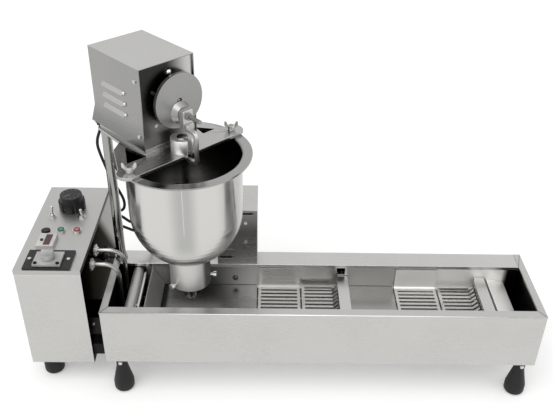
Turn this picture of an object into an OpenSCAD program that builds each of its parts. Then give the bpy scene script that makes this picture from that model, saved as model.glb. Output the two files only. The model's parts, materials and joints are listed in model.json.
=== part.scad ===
// Donut fryer: a long oil tank with two turning baskets, a forming hopper with a
// crank-driven plunger on a post, and a control box bolted to the tank's left end.
// Millimetres, +Z up, X along the tank, Y towards the back, floor at Z = 0.

/* [Tank] */
// Length of the tank
tank_l = 880; // [860:1:960]
// Depth of the tank, front to back
tank_w = 206; // [200:1:230]
// Height of the tank's casing
tank_h = 130; // [125:1:150]
// Height of the tank's underside above the floor
tank_z = 92; // [80:1:110]
// Thickness of the sheet steel
sheet = 2; // [1.5:0.1:2.5]
// Width of the front rim
front_rim = 19; // [15:1:22]
// Width of the rim at each end
end_rim = 14; // [12:1:20]
// Width of the rear ledge over the drive channel
ledge_w = 44; // [42:1:50]
// Depth of the oil pan below the rim
pan_depth = 107; // [95:1:110]
// Depth of the floor plates below the rim
floor_drop = 57; // [54:1:62]

/* [Control box] */
// Width of the control box
box_l = 130; // [120:1:150]
// Depth of the control box, front to back
box_d = 304; // [290:1:320]
// Height of the control box
box_h = 245; // [220:1:260]
// Height of the control box above the floor
box_z = 56; // [45:1:70]
// Gap between the control box and the tank
box_gap = 33; // [28:1:40]
// Setback of the control box behind the tank's front
box_setback = 31; // [25:1:40]
// Depth of the folded lip round the control panel
panel_lip = 11; // [8:0.5:16]

/* [Hopper] */
// Distance of the hopper's axis from the tank's left end
hopper_x = 172; // [168:1:180]
// Inside radius of the hopper
hopper_r = 106.5; // [100:0.5:108]
// Wall of the hopper
hopper_wall = 2; // [1.5:0.1:3]
// Height of the hopper, rim to outlet
hopper_h = 226; // [222:1:240]
// Height of the hopper's rounded bottom
bowl_h = 107; // [95:1:130]
// How far the hopper's rounded bottom draws in at its foot
bowl_in = 66.67; // [62:0.01:70]
// Width of the hopper's rim flange
flange_w = 18.5; // [17:0.5:20]
// Thickness of the rim flange
flange_t = 3; // [2:0.5:4]
// Outside radius of the nozzle
nozzle_r = 41; // [38:1:44]
// Height of the nozzle
nozzle_h = 68; // [64:1:74]
// Gap between the nozzle and the tank's rim
nozzle_gap = 15; // [12:1:20]

/* [Forming head] */
// Turn of the head about the hopper's axis, in degrees
head_yaw = 44; // [42:1:46]
// Width of the head's casing
head_w = 119; // [112:1:126]
// Depth of the head's casing
head_d = 155; // [150:1:160]
// Height of the head's casing
head_h = 155; // [145:1:170]
// Distance of the casing's front behind the hopper's axis
head_setback = 27; // [26:1:30]
// Offset of the casing to the left of the hopper's axis
head_shift = 4; // [0:1:8]
// Thickness of the head's base plate
plate_t = 6; // [5:0.5:8]
// Width of the cross bar on the hopper's rim
bar_w = 40; // [38:1:44]
// Radius of the post
post_r = 10; // [8:0.5:11]

/* [Forming crank] */
// Radius of the crank disc
disc_r = 51.5; // [48:0.5:54]
// Thickness of the crank disc
disc_t = 7; // [5:0.5:8]
// Throw of the crank pin, half of the plunger's stroke
crank_throw = 22; // [16:1:22]
// Radius of the plunger's rod
rod_r = 10; // [8:0.5:11]
// Radius of the guide bush
bush_r = 22; // [18:0.5:24]
// Height of the guide bush
bush_h = 27; // [22:1:28]

/* [Turning baskets] */
// Start of the first fixed grid, from the tank's left end
grid_x = 309; // [300:1:316]
// Length of the lip over the basket's shaft
lip_l = 21; // [19:1:24]
// Rise of the lip over the basket's floor
lip_rise = 28; // [26:1:30]
// Radius of the basket's shaft
shaft_r = 5; // [4:0.5:6]
// Length of the levers behind the pan
lever_l = 30; // [24:1:32]
// Width of the slots in grids and baskets
slot_w = 5.5; // [4.5:0.5:7]
// Distance between slots
slot_pitch = 11.5; // [11:0.5:14]

/* [Heater] */
// Radius of the heater's tube
heater_r = 4.5; // [3.5:0.5:5]
// Bend radius of the heater's legs
heater_bend = 30; // [26:1:34]

/* [Controls] */
// Radius of the temperature knob
knob_r = 28; // [26:1:32]
// Height of the temperature knob
knob_h = 32; // [28:1:36]
// Radius of a push button's cap
button_r = 7.5; // [7:0.5:9]
// Travel of a push button
button_travel = 3; // [2:0.5:4]

/* [Feet] */
// Radius of a foot at the floor
foot_r = 21; // [18:0.5:22]
// Distance of the left feet from the tank's left end
foot_left = 27; // [24:1:40]
// Distance of the right feet from the tank's right end
foot_right = 22; // [22:1:40]

/* [Hidden] */
$fn = 64;
// Overrun of every cut past the face that it opens
overrun = 1;
// Running clearance of a shaft in its own bore
run_gap = 0.05;
// Clearance between parts that pass each other
pass_gap = 0.4;
// Clearance of a loose seat between fixed parts
seat_gap = 0.3;
// Length of a cable gland off its wall
gland_l = 10;
// Radius of the small cover screws and the height of their heads
screw_r = 3.5;
screw_h = 2;

steel = [0.77, 0.765, 0.745];
bright = [0.86, 0.86, 0.85];
black = [0.07, 0.07, 0.075];
white = [0.9, 0.9, 0.88];
dark = [0.3, 0.3, 0.31];

// Levels and centre lines
rim_z = tank_z + tank_h;
floor_z = rim_z - floor_drop;
strip_z = floor_z - sheet;
pan_z = rim_z - pan_depth;
pan_x0 = end_rim;
pan_x1 = tank_l - end_rim;
pan_y0 = front_rim;
pan_y1 = tank_w - ledge_w;
channel_y = (pan_y0 + pan_y1) / 2;
box_x1 = -box_gap;
box_x0 = -box_gap - box_l;
box_y1 = box_setback + box_d;
box_top = box_z + box_h;
panel_z = box_top - sheet;
mid_x = (tank_l + box_x0) / 2;
mid_y = (box_y1 + gland_l + channel_y - hopper_r - hopper_wall - flange_w) / 2;
nozzle_z = rim_z + nozzle_gap;
outlet_z = nozzle_z + nozzle_h;
hopper_z = outlet_z + hopper_h;
plate_z = hopper_z + plate_t;
pad_h = 9;
head_z = plate_z + pad_h;
head_x0 = -head_w / 2 - head_shift;
head_x1 = head_w / 2 - head_shift;
head_y1 = head_setback + head_d;

// Strips under the floor plates, and the slack of the plates between the walls
strip_w = 8;
strip_t = 4;
strip_end = 14;
plate_slack = 1;
plate_y0 = pan_y0 + plate_slack;
plate_y1 = pan_y1 - plate_slack;

// Left floor plate with its upturned end
ramp_foot = 106;
ramp_top = 82;
ramp_rise = 48;
plate_joint = 3;

// Baskets and grids, in shares of the bath from the first grid to the tank's right end
bath_l = tank_l - grid_x;
grid_share = 0.156;
basket_share = 0.135;
pitch_share = 0.515;
chute_share = 0.066;
grid_l = bath_l * grid_share;
basket_l = bath_l * basket_share;
grid_pitch = bath_l * pitch_share;
basket_joint = 4;
basket_x = grid_x + grid_l + basket_joint;
basket_side = 11;
basket_y0 = pan_y0 + basket_side;
basket_y1 = pan_y1 - basket_side;
basket_rail = 8;
basket_slope = 11;
lip_back = 1.5;
slot_end = 6;
slots = floor((basket_y1 - basket_y0 - slot_w) / slot_pitch);
flange_gap = 2;
flange_slope = 4;
lip_mid_share = 0.5;
shaft_x = basket_x + basket_l + lip_l * lip_mid_share;
shaft_z = strip_z + lip_rise - shaft_r;
boss_r = 9;
boss_front = 5;
boss_rear = 6;
boss_floor = 1;
window_w = 18;
window_h = 17;
window_rise = 10;
window_shift = 4;

// Drive train in the channel behind the pan
lever_rest = -15;
lever_w = 15;
lever_neck = 11;
rivet_h = 1;
lever_t = 6;
boss_clear = 4;
lever_y = pan_y1 + sheet + boss_rear + boss_clear;
tie_y = lever_y + lever_t + pass_gap;
tie_t = 6;
tie_h = 11;
tie_end_r = 7;
pin_r = 3;
pin_loose = 0.4;
drive_lever_y = tie_y + tie_t + pass_gap;
drive_x = 282;
wall_hole = 0.8;
pin_at = [lever_l * cos(lever_rest), lever_l * sin(lever_rest)];
gear_l = 40;
gear_d = 42;
gear_h = 60;
gear_seat = 30;
shaft_depth = 24;
drive_motor_r = 18;
drive_motor_h = 100;

// Drive housing on the ledge and down the tank's back
housing_l = 48;
housing_h = 135;
housing_back = 57;
housing_tail = 72;
housing_x0 = drive_x - housing_l / 2;
housing_x1 = drive_x + housing_l / 2;
housing_set = 1;
housing_y0 = pan_y1 + housing_set;
housing_y1 = tank_w + housing_back;
step_l = 36;
step_h = 38;
step_slot_l = 26;
step_slot_h = 5;
step_slot_z = 14;
vent_l = 30;
vent_h = 4;
vent_drop = 6;

// Ledge cover
ledge_lip = 8;
ledge_gap = 0.3;

// Exit chute
chute_gap = 6;
chute_l = bath_l * chute_share;
chute_rise = 27;
chute_fall = 8;
chute_x = shaft_x + grid_pitch + lip_l / 2 + chute_gap;

// Heater guard and thermostat bulb at the pan's left end
guard_x = 42;
guard_w = 22;
guard_h = 50;
bulb_r = 4;
bulb_end = 10;
bulb_tip = 16;

// Heater element
leg_back = [11, 51];
leg_y1 = pan_y1 - leg_back[0];
leg_y2 = pan_y1 - leg_back[1];
leg_x1 = 27;
leg_x2 = 22;
leg_z1 = 262;
leg_z2 = 256;
heater_rise = 20;
heater_z = pan_z + heater_rise;
heater_in = 14;
heater_foot_bend = 12;
heater_run_end = 60;
nut_r = 13;
nut_t = 3;
hex_r = 8;
hex_t = 4;
tube_hole = 1;

// Hopper outline
bowl_r = (bowl_h * bowl_h + bowl_in * bowl_in) / (2 * bowl_in);
spigot_r = 36;
spigot_h = 62;
mouth_round = 5;
stud_r = 4;
stud_h = 17;
stud_out = 8;
stud_at = hopper_r + hopper_wall + stud_out;

// Nozzle and its thumb screws
nozzle_wall = 3;
nozzle_floor = 5;
mouth_r = 22;
thumb_rises = [15, 9];
thumb_r = 3;
thumb_l = 12;
thumb_head_r = 6;
thumb_head_t = 6;
thumb_angles = [-3, 228];

// Plunger and die
piston_r = 30;
piston_t = 6;
piston_rise = 40;
die_r = 18.5;
die_tip_r = 9;
die_h = 45;
die_taper = 14;
claw_w = 5;
die_core_r = 6;
rod_top = 1;

// Strap that carries the plunger's arm round the bush
strap_w = 7;
strap_t = 6;
strap_out = 43;
strap_drop = 3;
strap_bend = 10;
tab_w = 18;
tab_h = 5;
tab_t = 5;
slot_gap = 0.6;

// Crank stack in front of the head's front plate
plate_recess = 4;
front_t = 3;
hub_x = 8;
hub_rise = 82;
disc_gap = 12;
crank_shaft_r = 8;
crank_shaft_in = 30;
hub_boss_r = 13;
hub_hole_r = 5.5;
hub_hole = 5;
hub_bolt_r = 3;
hub_bolt_t = 3;
pin_boss_r = 21;
pin_boss_tip_r = 14;
pin_boss_t = 10;
crank_pin_r = 4;
crank_pin_l = 46;
crank_nut_r = 7;
crank_nut_t = 6;
block_w = 22;
block_h = 30;
block_t = 12;
block_drop = 19;
front_face = head_setback + plate_recess;
disc_y = front_face - disc_gap;
hub_z = head_z + hub_rise;
crank_z = hub_z - crank_throw;
boss_y = disc_y - disc_t - pin_boss_t;
block_y = boss_y - pass_gap;
block_front = block_y - block_t;
tab_y = block_front - pass_gap;
strap_z = hopper_z - strap_drop;
strap_top = crank_z - block_drop;

// Forming motor inside the head
forming_gear_w = 84;
forming_gear_d = 56;
forming_gear_h = 120;
forming_motor_r = 36;
forming_motor_l = 68;

// Head plate
ear_end = 24;
ear_x = stud_at + ear_end;
web_left = [[-134, 8], [-93, 85], [-68, 103]];
web_right = [[55, 103], [96, 63], [113, 8]];
hole_left = [[-63, 25], [-103, 27], [-71, 80]];
hole_right = [[68, 25], [96, 25], [73, 55]];
pad_margin = 3;
rod_clear = 2;
post_x = 13.5;
post_y = pan_y1 + ledge_w / 2;
post_base_r = 13;
post_base_h = 5;

// Head louvres and front details
louvre_l = 66;
louvre_h = 7;
louvre_out = 5;
louvre_gap = 21;
louvre_rise = 50;
louvre_start = 51;
louvres = 3;
flare = 18;
flare_h = 42;
port_x = -1;
port_rise = 135;
port_r = 6.5;
plug_r = 3.5;
plug_out = 7;

// Wing nuts
wing_hub_r = 6.5;
wing_hub_h = 10;
wing_l = 13;
wing_w = 3.5;
wing_h = 8;
wing_rise = 10;
wing_turn = -40;
wing_foot = 1.5;
wing_foot_x = 5;

// Panel layout, measured from the control box's front left corner
knob_share = 0.7337;
toggle_share = 0.6051;
button_share = 0.4372;
counter_share = 0.2999;
switch_share = 0.0901;
counter_d_share = 0.1461;
switch_d_share = 0.1974;
knob_at = [66, box_d * knob_share];
toggle_at = [[32, box_d * toggle_share], [95, box_d * toggle_share]];
start_at = [62.5, box_d * button_share];
stop_at = [95.5, box_d * button_share];
black_at = [31, box_d * button_share];
counter_at = [44, box_d * counter_share];
switch_at = [64, box_d * switch_share];

// Temperature knob and the thermostat under it
stem_r = 4;
stem_h = 24;
stat_r = 24;
stat_h = 44;
knob_lift = 1;
skirt_h = 18;
cap_r = 23;
cap_foot_r = 25;
lobes = 8;
lobe_r = 5;
lobe_at_share = 1.05;

// Toggle switches
toggle_nut_r = 9;
toggle_nut_h = 3;
toggle_body_r = 8;
toggle_r = 6;
toggle_h = 7;
toggle_in = 26;
toggle_cup_r = 4.2;
toggle_cup = 6;
toggle_ball_r = 3.6;
toggle_rod_r = 1.8;
toggle_tip_r = 3;
toggle_l = 18;
toggle_leans = [-18, 18];

// Push buttons
bezel_wall = 1.7;
neck_wall = 1.2;
bezel_r = button_r + bezel_wall;
bezel_h = 4.5;
button_h = 1;
button_in = 28;
button_neck_r = button_r + neck_wall;
button_well = 8;
low_button_h = 1;
low_bezel_h = 2;

// Counter
counter_w = 34;
counter_d = box_d * counter_d_share;
counter_h = 8;
counter_key_r = 3;
counter_key_h = 2.5;
counter_key_at = [-9, -2];
counter_well = 5;

// Cam switch
switch_w = 91;
switch_d = box_d * switch_d_share;
switch_back = 3;
switch_t = 5;
face_w = 54;
face_d = 42;
face_t = 5;
face_floor = 1;
grip_inset = 1;
handle_r = 12.5;
handle_h = 8;
grip_w = 9;
grip_h = 9;
switch_screw_at = 38;
face_screw_share = 0.4;
switch_shaft_r = 4;
switch_in = 40;

// Places of the cover screws
head_screw_shares = [0.16, 0.84];
head_screw_in = 13;
front_screw_at = 29.5;
front_screw_shares = [0.258, 0.665];
pan_screw_x = 258;
pan_screw_rise = 20;
housing_screw_shares = [0.42, 0.78];
box_screw_in = 20;
box_screw_shares = [0.14, 0.8];
side_screw_y = 32;
side_screw_z = 80;

// Contactor on the control box's floor
contactor_w = 70;
contactor_d = 84;
contactor_h = 78;
contactor_y = 120;

// Brackets between the control box and the tank
bracket_y = [38, 150];
bracket_w = 30;
bracket_h = 28;
bracket_drop = 16;
bracket_z = tank_z - bracket_drop;

// Feet
foot_base_h = 22;
foot_neck_r = 11.5;
foot_shoulder_r = 18;
foot_shoulder_share = 0.38;
foot_neck_share = 0.7;
foot_round = 8;
box_foot_head_r = 14;
foot_screw_r = 4;
foot_screw_l = 4;
foot_screw_drop = 12;
box_foot_r = 21;
box_foot_x = 30;
box_foot_y = [39, 262];

// Cables: their radius, and the glands that they leave and enter
cable_r = 3;
cable_lead = 7;
gland_r = 6;
gland_nut_r = 9;
gland_nut_t = 4;
head_gland_x = -53;
head_gland_y = 9;
box_gland_z = 196;
box_gland_y = [215, 240];
housing_gland_back = 24;
housing_gland_rise = 40;
mains_gland_x = 65;
mains_gland_rise = 24;
head_back = head_y1 + head_gland_y;
head_exit = [hopper_x + head_gland_x * cos(head_yaw) - head_back * sin(head_yaw),
    channel_y + head_gland_x * sin(head_yaw) + head_back * cos(head_yaw), head_z - gland_l];
housing_exit = [housing_x0 - gland_l, tank_w + housing_gland_back, rim_z + housing_gland_rise];
box_entry = [for (y = box_gland_y) [box_x1 + gland_l, y, box_gland_z]];

// Turns of the head's cable, measured from the post's foot: a slack turn, then down behind the hopper
post_foot = [post_x, post_y, rim_z];
head_turns = [
    [-14.5, 8, 299], [-18.5, 10, 289], [-22.5, 13, 277], [-24.5, 16, 262], [-22.5, 18, 245],
    [-18.5, 20, 225], [-13.5, 21, 205], [-8.5, 22, 186], [-3.5, 22, 171], [4, 22, 157], [12, 22, 136],
    [14, 22, 120], [10, 23, 107], [0.5, 24, 101], [-9.5, 26, 98], [-14.5, 28, 92.5], [-12.5, 29.5, 87.5],
    [-5.5, 30, 85.5], [3.5, 30.5, 83], [17.5, 32, 70], [34.5, 37, 58], [48.5, 42, 45], [57.5, 44, 28],
    [59.5, 43, 8], [54.5, 39, -11], [40.5, 34, -22], [18.5, 32, -25], [-5.5, 31, -26]];
head_route = concat([head_exit, head_exit - [0, 0, cable_lead]], [for (p = head_turns) post_foot + p],
    [box_entry[0] + [cable_lead, 0, 0], box_entry[0]]);

// Turns of the drive's cable, measured from the post's foot: behind the hopper to the post
drive_turns = [
    [208.5, 45, 38], [176.5, 43, 30], [136.5, 38, 26], [96.5, 33, 28.5], [56.5, 30, 37.5],
    [31.5, 29, 45.5], [14.5, 29, 53], [0.5, 32, 57], [-9.5, 38, 53], [-15.5, 45, 42], [-16.5, 50, 26],
    [-16.5, 54, 8], [-18.5, 56, -8], [-22.5, 56, -20]];
drive_route = concat([housing_exit, housing_exit - [cable_lead, 0, 0]], [for (p = drive_turns) post_foot + p],
    [box_entry[1] + [cable_lead, 0, 0], box_entry[1]]);

// Shared geometry

function unit(v) = v / norm(v);
function left_of(v) = [-v[1], v[0]];
function step_at(p, i) = unit(p[min(i + 1, len(p) - 1)] - p[min(i, len(p) - 2)]);
function miter(p, i) =
    let (a = step_at(p, max(i - 1, 0)), b = step_at(p, i))
    (left_of(a) + left_of(b)) / (1 + a * b);

// Outline of a bent strip: an open path thickened to its left
function strip(p, t) = concat(p, [for (i = [len(p) - 1 : -1 : 0]) p[i] + t * miter(p, i)]);

function arc(centre, r, from, to, steps = 8) =
    [for (i = [0 : steps]) let (a = from + (to - from) * i / steps) centre + r * [cos(a), sin(a)]];

module at_machine() {
    translate([-mid_x, -mid_y, 0]) children();
}

module at_hopper() {
    at_machine() translate([hopper_x, channel_y, 0]) children();
}

module at_head() {
    at_hopper() rotate([0, 0, head_yaw]) children();
}

module at_panel(at) {
    at_machine() translate([box_x0 + at[0], box_setback + at[1], box_top]) children();
}

// A block between two opposite corners
module block(from, to) {
    translate(from) cube(to - from);
}

// An outline in X and Z, extruded along Y
module along_y(points, y0, y1) {
    translate([0, y1, 0]) rotate([90, 0, 0]) linear_extrude(y1 - y0) polygon(points);
}

// An outline in Y and Z, extruded along X
module along_x(points, x0, x1) {
    translate([x0, 0, 0]) rotate([90, 0, 90]) linear_extrude(x1 - x0) polygon(points);
}

// A cylinder along +Y or -Y from a point
module rod_y(at, r, l) {
    translate(at) rotate([-90, 0, 0]) cylinder(r = r, h = l);
}

module rod_x(at, r, l) {
    translate(at) rotate([0, 90, 0]) cylinder(r = r, h = l);
}

// Rings of a tube swept along a route with a steady twist-free frame
function sweep_side(t) = let (s = cross(t, [0, 0, 1])) norm(s) > 0.05 ? unit(s) : [0, 1, 0];
function next_side(t, side) = unit(side - (side * t) * t);
function tangents(p) = [for (i = [0 : len(p) - 1])
    unit(p[min(i + 1, len(p) - 1)] - p[max(i - 1, 0)])];
function sides(t, i = 0, prior = []) =
    i == len(t) ? prior
    : sides(t, i + 1, concat(prior, [next_side(t[i], i == 0 ? sweep_side(t[0]) : prior[i - 1])]));

module tube(p, r, n = 8) {
    t = tangents(p);
    s = sides(t);
    rings = [for (i = [0 : len(p) - 1]) let (u = cross(t[i], s[i]))
        for (k = [0 : n - 1]) p[i] + r * (cos(360 * k / n) * s[i] + sin(360 * k / n) * u)];
    last = len(p) - 1;
    walls = [for (i = [0 : last - 1]) for (k = [0 : n - 1]) let (m = (k + 1) % n)
        each [[i * n + k, (i + 1) * n + k, (i + 1) * n + m], [i * n + k, (i + 1) * n + m, i * n + m]]];
    caps = concat(
        [for (k = [1 : n - 2]) [0, k, k + 1]],
        [for (k = [1 : n - 2]) [last * n, last * n + k + 1, last * n + k]]);
    polyhedron(points = rings, faces = concat(walls, caps));
}

// A round-headed screw that points along -Z
module screw() {
    cylinder(r = screw_r, h = screw_h);
}

// Tank

module tank_casing() {
    color(steel) at_machine() difference() {
        block([0, 0, tank_z], [tank_l, tank_w, rim_z - sheet]);
        block([sheet, sheet, tank_z + sheet], [tank_l - sheet, tank_w - sheet, rim_z + overrun]);
        rod_y([drive_x, tank_w - sheet - overrun, shaft_z], shaft_r + wall_hole, sheet + 2 * overrun);
    }
}

module pan_shell() {
    difference() {
        union() {
            block([pan_x0 - sheet, pan_y0 - sheet, pan_z - sheet],
                [pan_x1 + sheet, pan_y1 + sheet, rim_z - sheet]);
            block([0, 0, rim_z - sheet], [tank_l, pan_y0, rim_z]);
            block([0, 0, rim_z - sheet], [end_rim, tank_w, rim_z]);
            block([pan_x1, 0, rim_z - sheet], [tank_l, tank_w, rim_z]);
        }
        block([pan_x0, pan_y0, pan_z], [pan_x1, pan_y1, rim_z + overrun]);
    }
}

module pan_strips() {
    for (y = [pan_y0, pan_y1 - strip_w])
        block([pan_x0 + strip_end, y, strip_z - strip_t], [pan_x1 - strip_end, y + strip_w, strip_z]);
}

// Bosses that carry one basket's shaft in the front and the rear wall
module shaft_bosses(x) {
    rod_y([x, pan_y0, shaft_z], boss_r, boss_front);
    rod_y([x, pan_y1 + sheet, shaft_z], boss_r, boss_rear);
}

module shaft_bores(x) {
    bore_l = boss_front - boss_floor + overrun;
    rod_y([x, pan_y0 + boss_floor, shaft_z], shaft_r + run_gap, bore_l);
    rod_y([x, pan_y1 - overrun, shaft_z], shaft_r + run_gap, sheet + boss_rear + 2 * overrun);
}

// The window in the rear wall above the turning basket's shaft
module shaft_window(x) {
    x0 = x - window_shift - window_w / 2;
    block([x0, pan_y1 - overrun, shaft_z + window_rise],
        [x0 + window_w, pan_y1 + sheet + overrun, shaft_z + window_rise + window_h]);
}

module oil_pan() {
    color(steel) at_machine() difference() {
        union() {
            pan_shell();
            pan_strips();
            shaft_bosses(shaft_x);
            shaft_bosses(shaft_x + grid_pitch);
        }
        shaft_bores(shaft_x);
        shaft_window(shaft_x);
        shaft_bores(shaft_x + grid_pitch);
    }
}

module rear_ledge() {
    front = pan_y1 - sheet;
    x0 = end_rim + ledge_gap;
    x1 = pan_x1 - ledge_gap;
    color(steel) at_machine() {
        block([x0, front, rim_z - sheet], [x1, tank_w, rim_z]);
        block([x0, front, rim_z - ledge_lip], [x1, front + sheet, rim_z - sheet]);
    }
}

module floor_plates() {
    left_end = grid_x - plate_joint;
    bath_x0 = shaft_x + lip_l / 2 + plate_joint;
    bath_x1 = grid_x + grid_pitch - plate_joint;
    path = [[ramp_top, strip_z + ramp_rise], [ramp_foot, strip_z], [left_end, strip_z]];
    color(steel) at_machine() {
        along_y(strip(path, sheet), plate_y0, plate_y1);
        block([bath_x0, plate_y0, strip_z], [bath_x1, plate_y1, floor_z]);
    }
}

// Slots along X, side by side in Y
module slot_row(x0, x1, z0, z1) {
    for (i = [0 : slots - 1])
        translate([0, basket_y0 + slot_pitch * (i + 0.5) + slot_w / 2, 0])
            block([x0, 0, z0], [x1, slot_w, z1]);
}

module fixed_grid(x) {
    back = plate_y1 - flange_gap;
    path = [[plate_y0, strip_z], [back - flange_slope, strip_z],
        [back, strip_z + flange_slope], [back, rim_z - ledge_lip - seat_gap]];
    difference() {
        along_x(strip(path, sheet), x, x + grid_l);
        slot_row(x + slot_end, x + grid_l - slot_end, strip_z - overrun, floor_z + overrun);
    }
}

module fixed_grid_left() {
    color(steel) at_machine() fixed_grid(grid_x);
}

module fixed_grid_right() {
    color(steel) at_machine() fixed_grid(grid_x + grid_pitch);
}

// A basket: slotted floor, tines that slope up into a riser, and a lip over the shaft
module basket(x) {
    riser_x = x + basket_l;
    lip_z = strip_z + lip_rise;
    floor_path = [[x, strip_z], [riser_x - basket_slope, strip_z], [riser_x, strip_z + basket_slope],
        [riser_x, lip_z], [riser_x + lip_l, lip_z]];
    difference() {
        along_y(strip(floor_path, sheet), basket_y0, basket_y1);
        slot_row(x + slot_end, riser_x + overrun, strip_z - overrun, lip_z - slot_end);
    }
    block([riser_x, basket_y1 - sheet, lip_z], [riser_x + lip_l, pan_y1 - lip_back, lip_z + sheet]);
    for (y = [basket_y0, basket_y1 - sheet])
        block([x, y, floor_z], [riser_x - basket_slope, y + sheet, floor_z + basket_rail]);
}

// A lever in the channel: it points along the rest angle and carries a pin
module lever(pin_from, pin_to) {
    rotate([0, -lever_rest, 0]) {
        translate([0, lever_t, 0]) rotate([90, 0, 0]) linear_extrude(lever_t) {
            circle(r = lever_w / 2);
            translate([0, -lever_neck / 2]) square([lever_l, lever_neck]);
            translate([lever_l, 0]) circle(r = lever_w / 2);
        }
        rod_y([lever_l, pin_from, 0], pin_r, pin_to - pin_from);
    }
}

module basket_shaft(x) {
    from = pan_y0 + boss_floor + seat_gap;
    translate([x, 0, shaft_z]) {
        rod_y([0, from, 0], shaft_r, lever_y + lever_t / 2 - from);
        translate([0, lever_y, 0]) lever(-rivet_h, lever_t + pass_gap + tie_t + overrun);
    }
}

module flip_basket() {
    color(steel) at_machine() basket(basket_x);
}

module flip_shaft() {
    color(bright) at_machine() basket_shaft(shaft_x);
}

module exit_basket() {
    color(steel) at_machine() basket(basket_x + grid_pitch);
}

module exit_shaft() {
    color(bright) at_machine() basket_shaft(shaft_x + grid_pitch);
}

module exit_chute() {
    top = strip_z + chute_rise;
    path = [[chute_x, strip_z], [chute_x, top], [chute_x + chute_l, top - chute_fall],
        [chute_x + chute_l, strip_z]];
    color(steel) at_machine() along_y(strip(path, -sheet), plate_y0, plate_y1);
}

module drive_lever() {
    color(bright) at_machine() translate([drive_x, 0, shaft_z]) {
        from = drive_lever_y + lever_t / 2;
        translate([0, drive_lever_y, 0]) lever(-pass_gap - tie_t - overrun, lever_t + rivet_h);
        rod_y([0, from, 0], shaft_r, tank_w + shaft_depth - from);
    }
}

module tie_rod() {
    pins = [drive_x, shaft_x, shaft_x + grid_pitch];
    x0 = drive_x + pin_at[0];
    x1 = shaft_x + grid_pitch + pin_at[0];
    z = shaft_z + pin_at[1];
    color(bright) at_machine() difference() {
        union() {
            block([x0, tie_y, z - tie_h / 2], [x1, tie_y + tie_t, z + tie_h / 2]);
            rod_y([x0, tie_y, z], tie_end_r, tie_t);
            rod_y([x1, tie_y, z], tie_end_r, tie_t);
        }
        for (i = [0 : 2])
            rod_y([pins[i] + pin_at[0], tie_y - overrun, z], pin_r + (i == 0 ? run_gap : pin_loose),
                tie_t + 2 * overrun);
    }
}

module drive_motor() {
    z0 = shaft_z - gear_seat;
    y0 = tank_w;
    color(dark) at_machine() {
        difference() {
            block([drive_x - gear_l / 2, y0, z0], [drive_x + gear_l / 2, y0 + gear_d, z0 + gear_h]);
            rod_y([drive_x, y0 - overrun, shaft_z], shaft_r + run_gap, shaft_depth + overrun + seat_gap);
        }
        translate([drive_x, y0 + gear_d / 2, z0 + gear_h]) cylinder(r = drive_motor_r, h = drive_motor_h);
    }
}

module drive_housing() {
    top = rim_z + housing_h;
    step_x = housing_x0 - step_l;
    tail_z = rim_z - housing_tail;
    color(steel) at_machine() difference() {
        union() {
            block([housing_x0, housing_y0, rim_z], [housing_x1, housing_y1, top]);
            block([housing_x0, tank_w, tail_z], [housing_x1, housing_y1, rim_z]);
            block([step_x, housing_y0, rim_z], [housing_x0, tank_w, rim_z + step_h]);
        }
        block([housing_x0 + sheet, housing_y0 + sheet, rim_z - overrun],
            [housing_x1 - sheet, housing_y1 - sheet, top - sheet]);
        block([housing_x0 + sheet, tank_w - overrun, tail_z + sheet],
            [housing_x1 - sheet, housing_y1 - sheet, rim_z + overrun]);
        block([step_x + sheet, housing_y0 + sheet, rim_z - overrun],
            [housing_x0 + overrun, tank_w - sheet, rim_z + step_h - sheet]);
        block([step_x + (step_l - step_slot_l) / 2, housing_y0 - overrun, rim_z + step_slot_z],
            [step_x + (step_l + step_slot_l) / 2, housing_y0 + sheet + overrun,
                rim_z + step_slot_z + step_slot_h]);
        block([drive_x - vent_l / 2, housing_y0 - overrun, top - vent_drop - vent_h],
            [drive_x + vent_l / 2, housing_y0 + sheet + overrun, top - vent_drop]);
    }
}

// Heater

// A quarter bend of the heater's tube about the origin
module heater_quarter(r) {
    rotate_extrude(angle = 90) translate([r, 0]) circle(r = heater_r);
}

module heater_leg(x, y, z) {
    start = box_x1 - heater_in;
    rod_x([start, y, z], heater_r, x - heater_bend - start);
    translate([x - heater_bend, y, z - heater_bend]) rotate([90, 0, 0]) heater_quarter(heater_bend);
    foot = heater_z + heater_foot_bend;
    translate([x, y, foot]) cylinder(r = heater_r, h = z - heater_bend - foot);
    translate([x + heater_foot_bend, y, foot]) rotate([90, 0, 0]) rotate([0, 0, 180])
        heater_quarter(heater_foot_bend);
    rod_x([x + heater_foot_bend, y, heater_z], heater_r, tank_l - heater_run_end - x - heater_foot_bend);
}

module heater_element() {
    bend = (leg_y1 - leg_y2) / 2;
    color(bright) at_machine() {
        heater_leg(leg_x1, leg_y1, leg_z1);
        heater_leg(leg_x2, leg_y2, leg_z2);
        translate([tank_l - heater_run_end, leg_y2 + bend, heater_z])
            rotate([0, 0, -90]) rotate_extrude(angle = 180) translate([bend, 0]) circle(r = heater_r);
    }
}

module heater_nut(y, z) {
    difference() {
        union() {
            rod_x([box_x1, y, z], nut_r, nut_t);
            translate([box_x1 + nut_t, y, z]) rotate([0, 90, 0]) cylinder(r = hex_r, h = hex_t, $fn = 6);
        }
        rod_x([box_x1 - overrun, y, z], heater_r + run_gap, nut_t + hex_t + 2 * overrun);
    }
}

module heater_nuts() {
    color(bright) at_machine() {
        heater_nut(leg_y1, leg_z1);
        heater_nut(leg_y2, leg_z2);
    }
}

module heater_guard() {
    r = guard_w / 2;
    path = concat([[guard_x, strip_z]], arc([guard_x + r, strip_z + guard_h - r], r, 180, 0, 12),
        [[guard_x + guard_w, strip_z]]);
    color(steel) at_machine() along_y(strip(path, -sheet), plate_y0, plate_y1);
}

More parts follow.
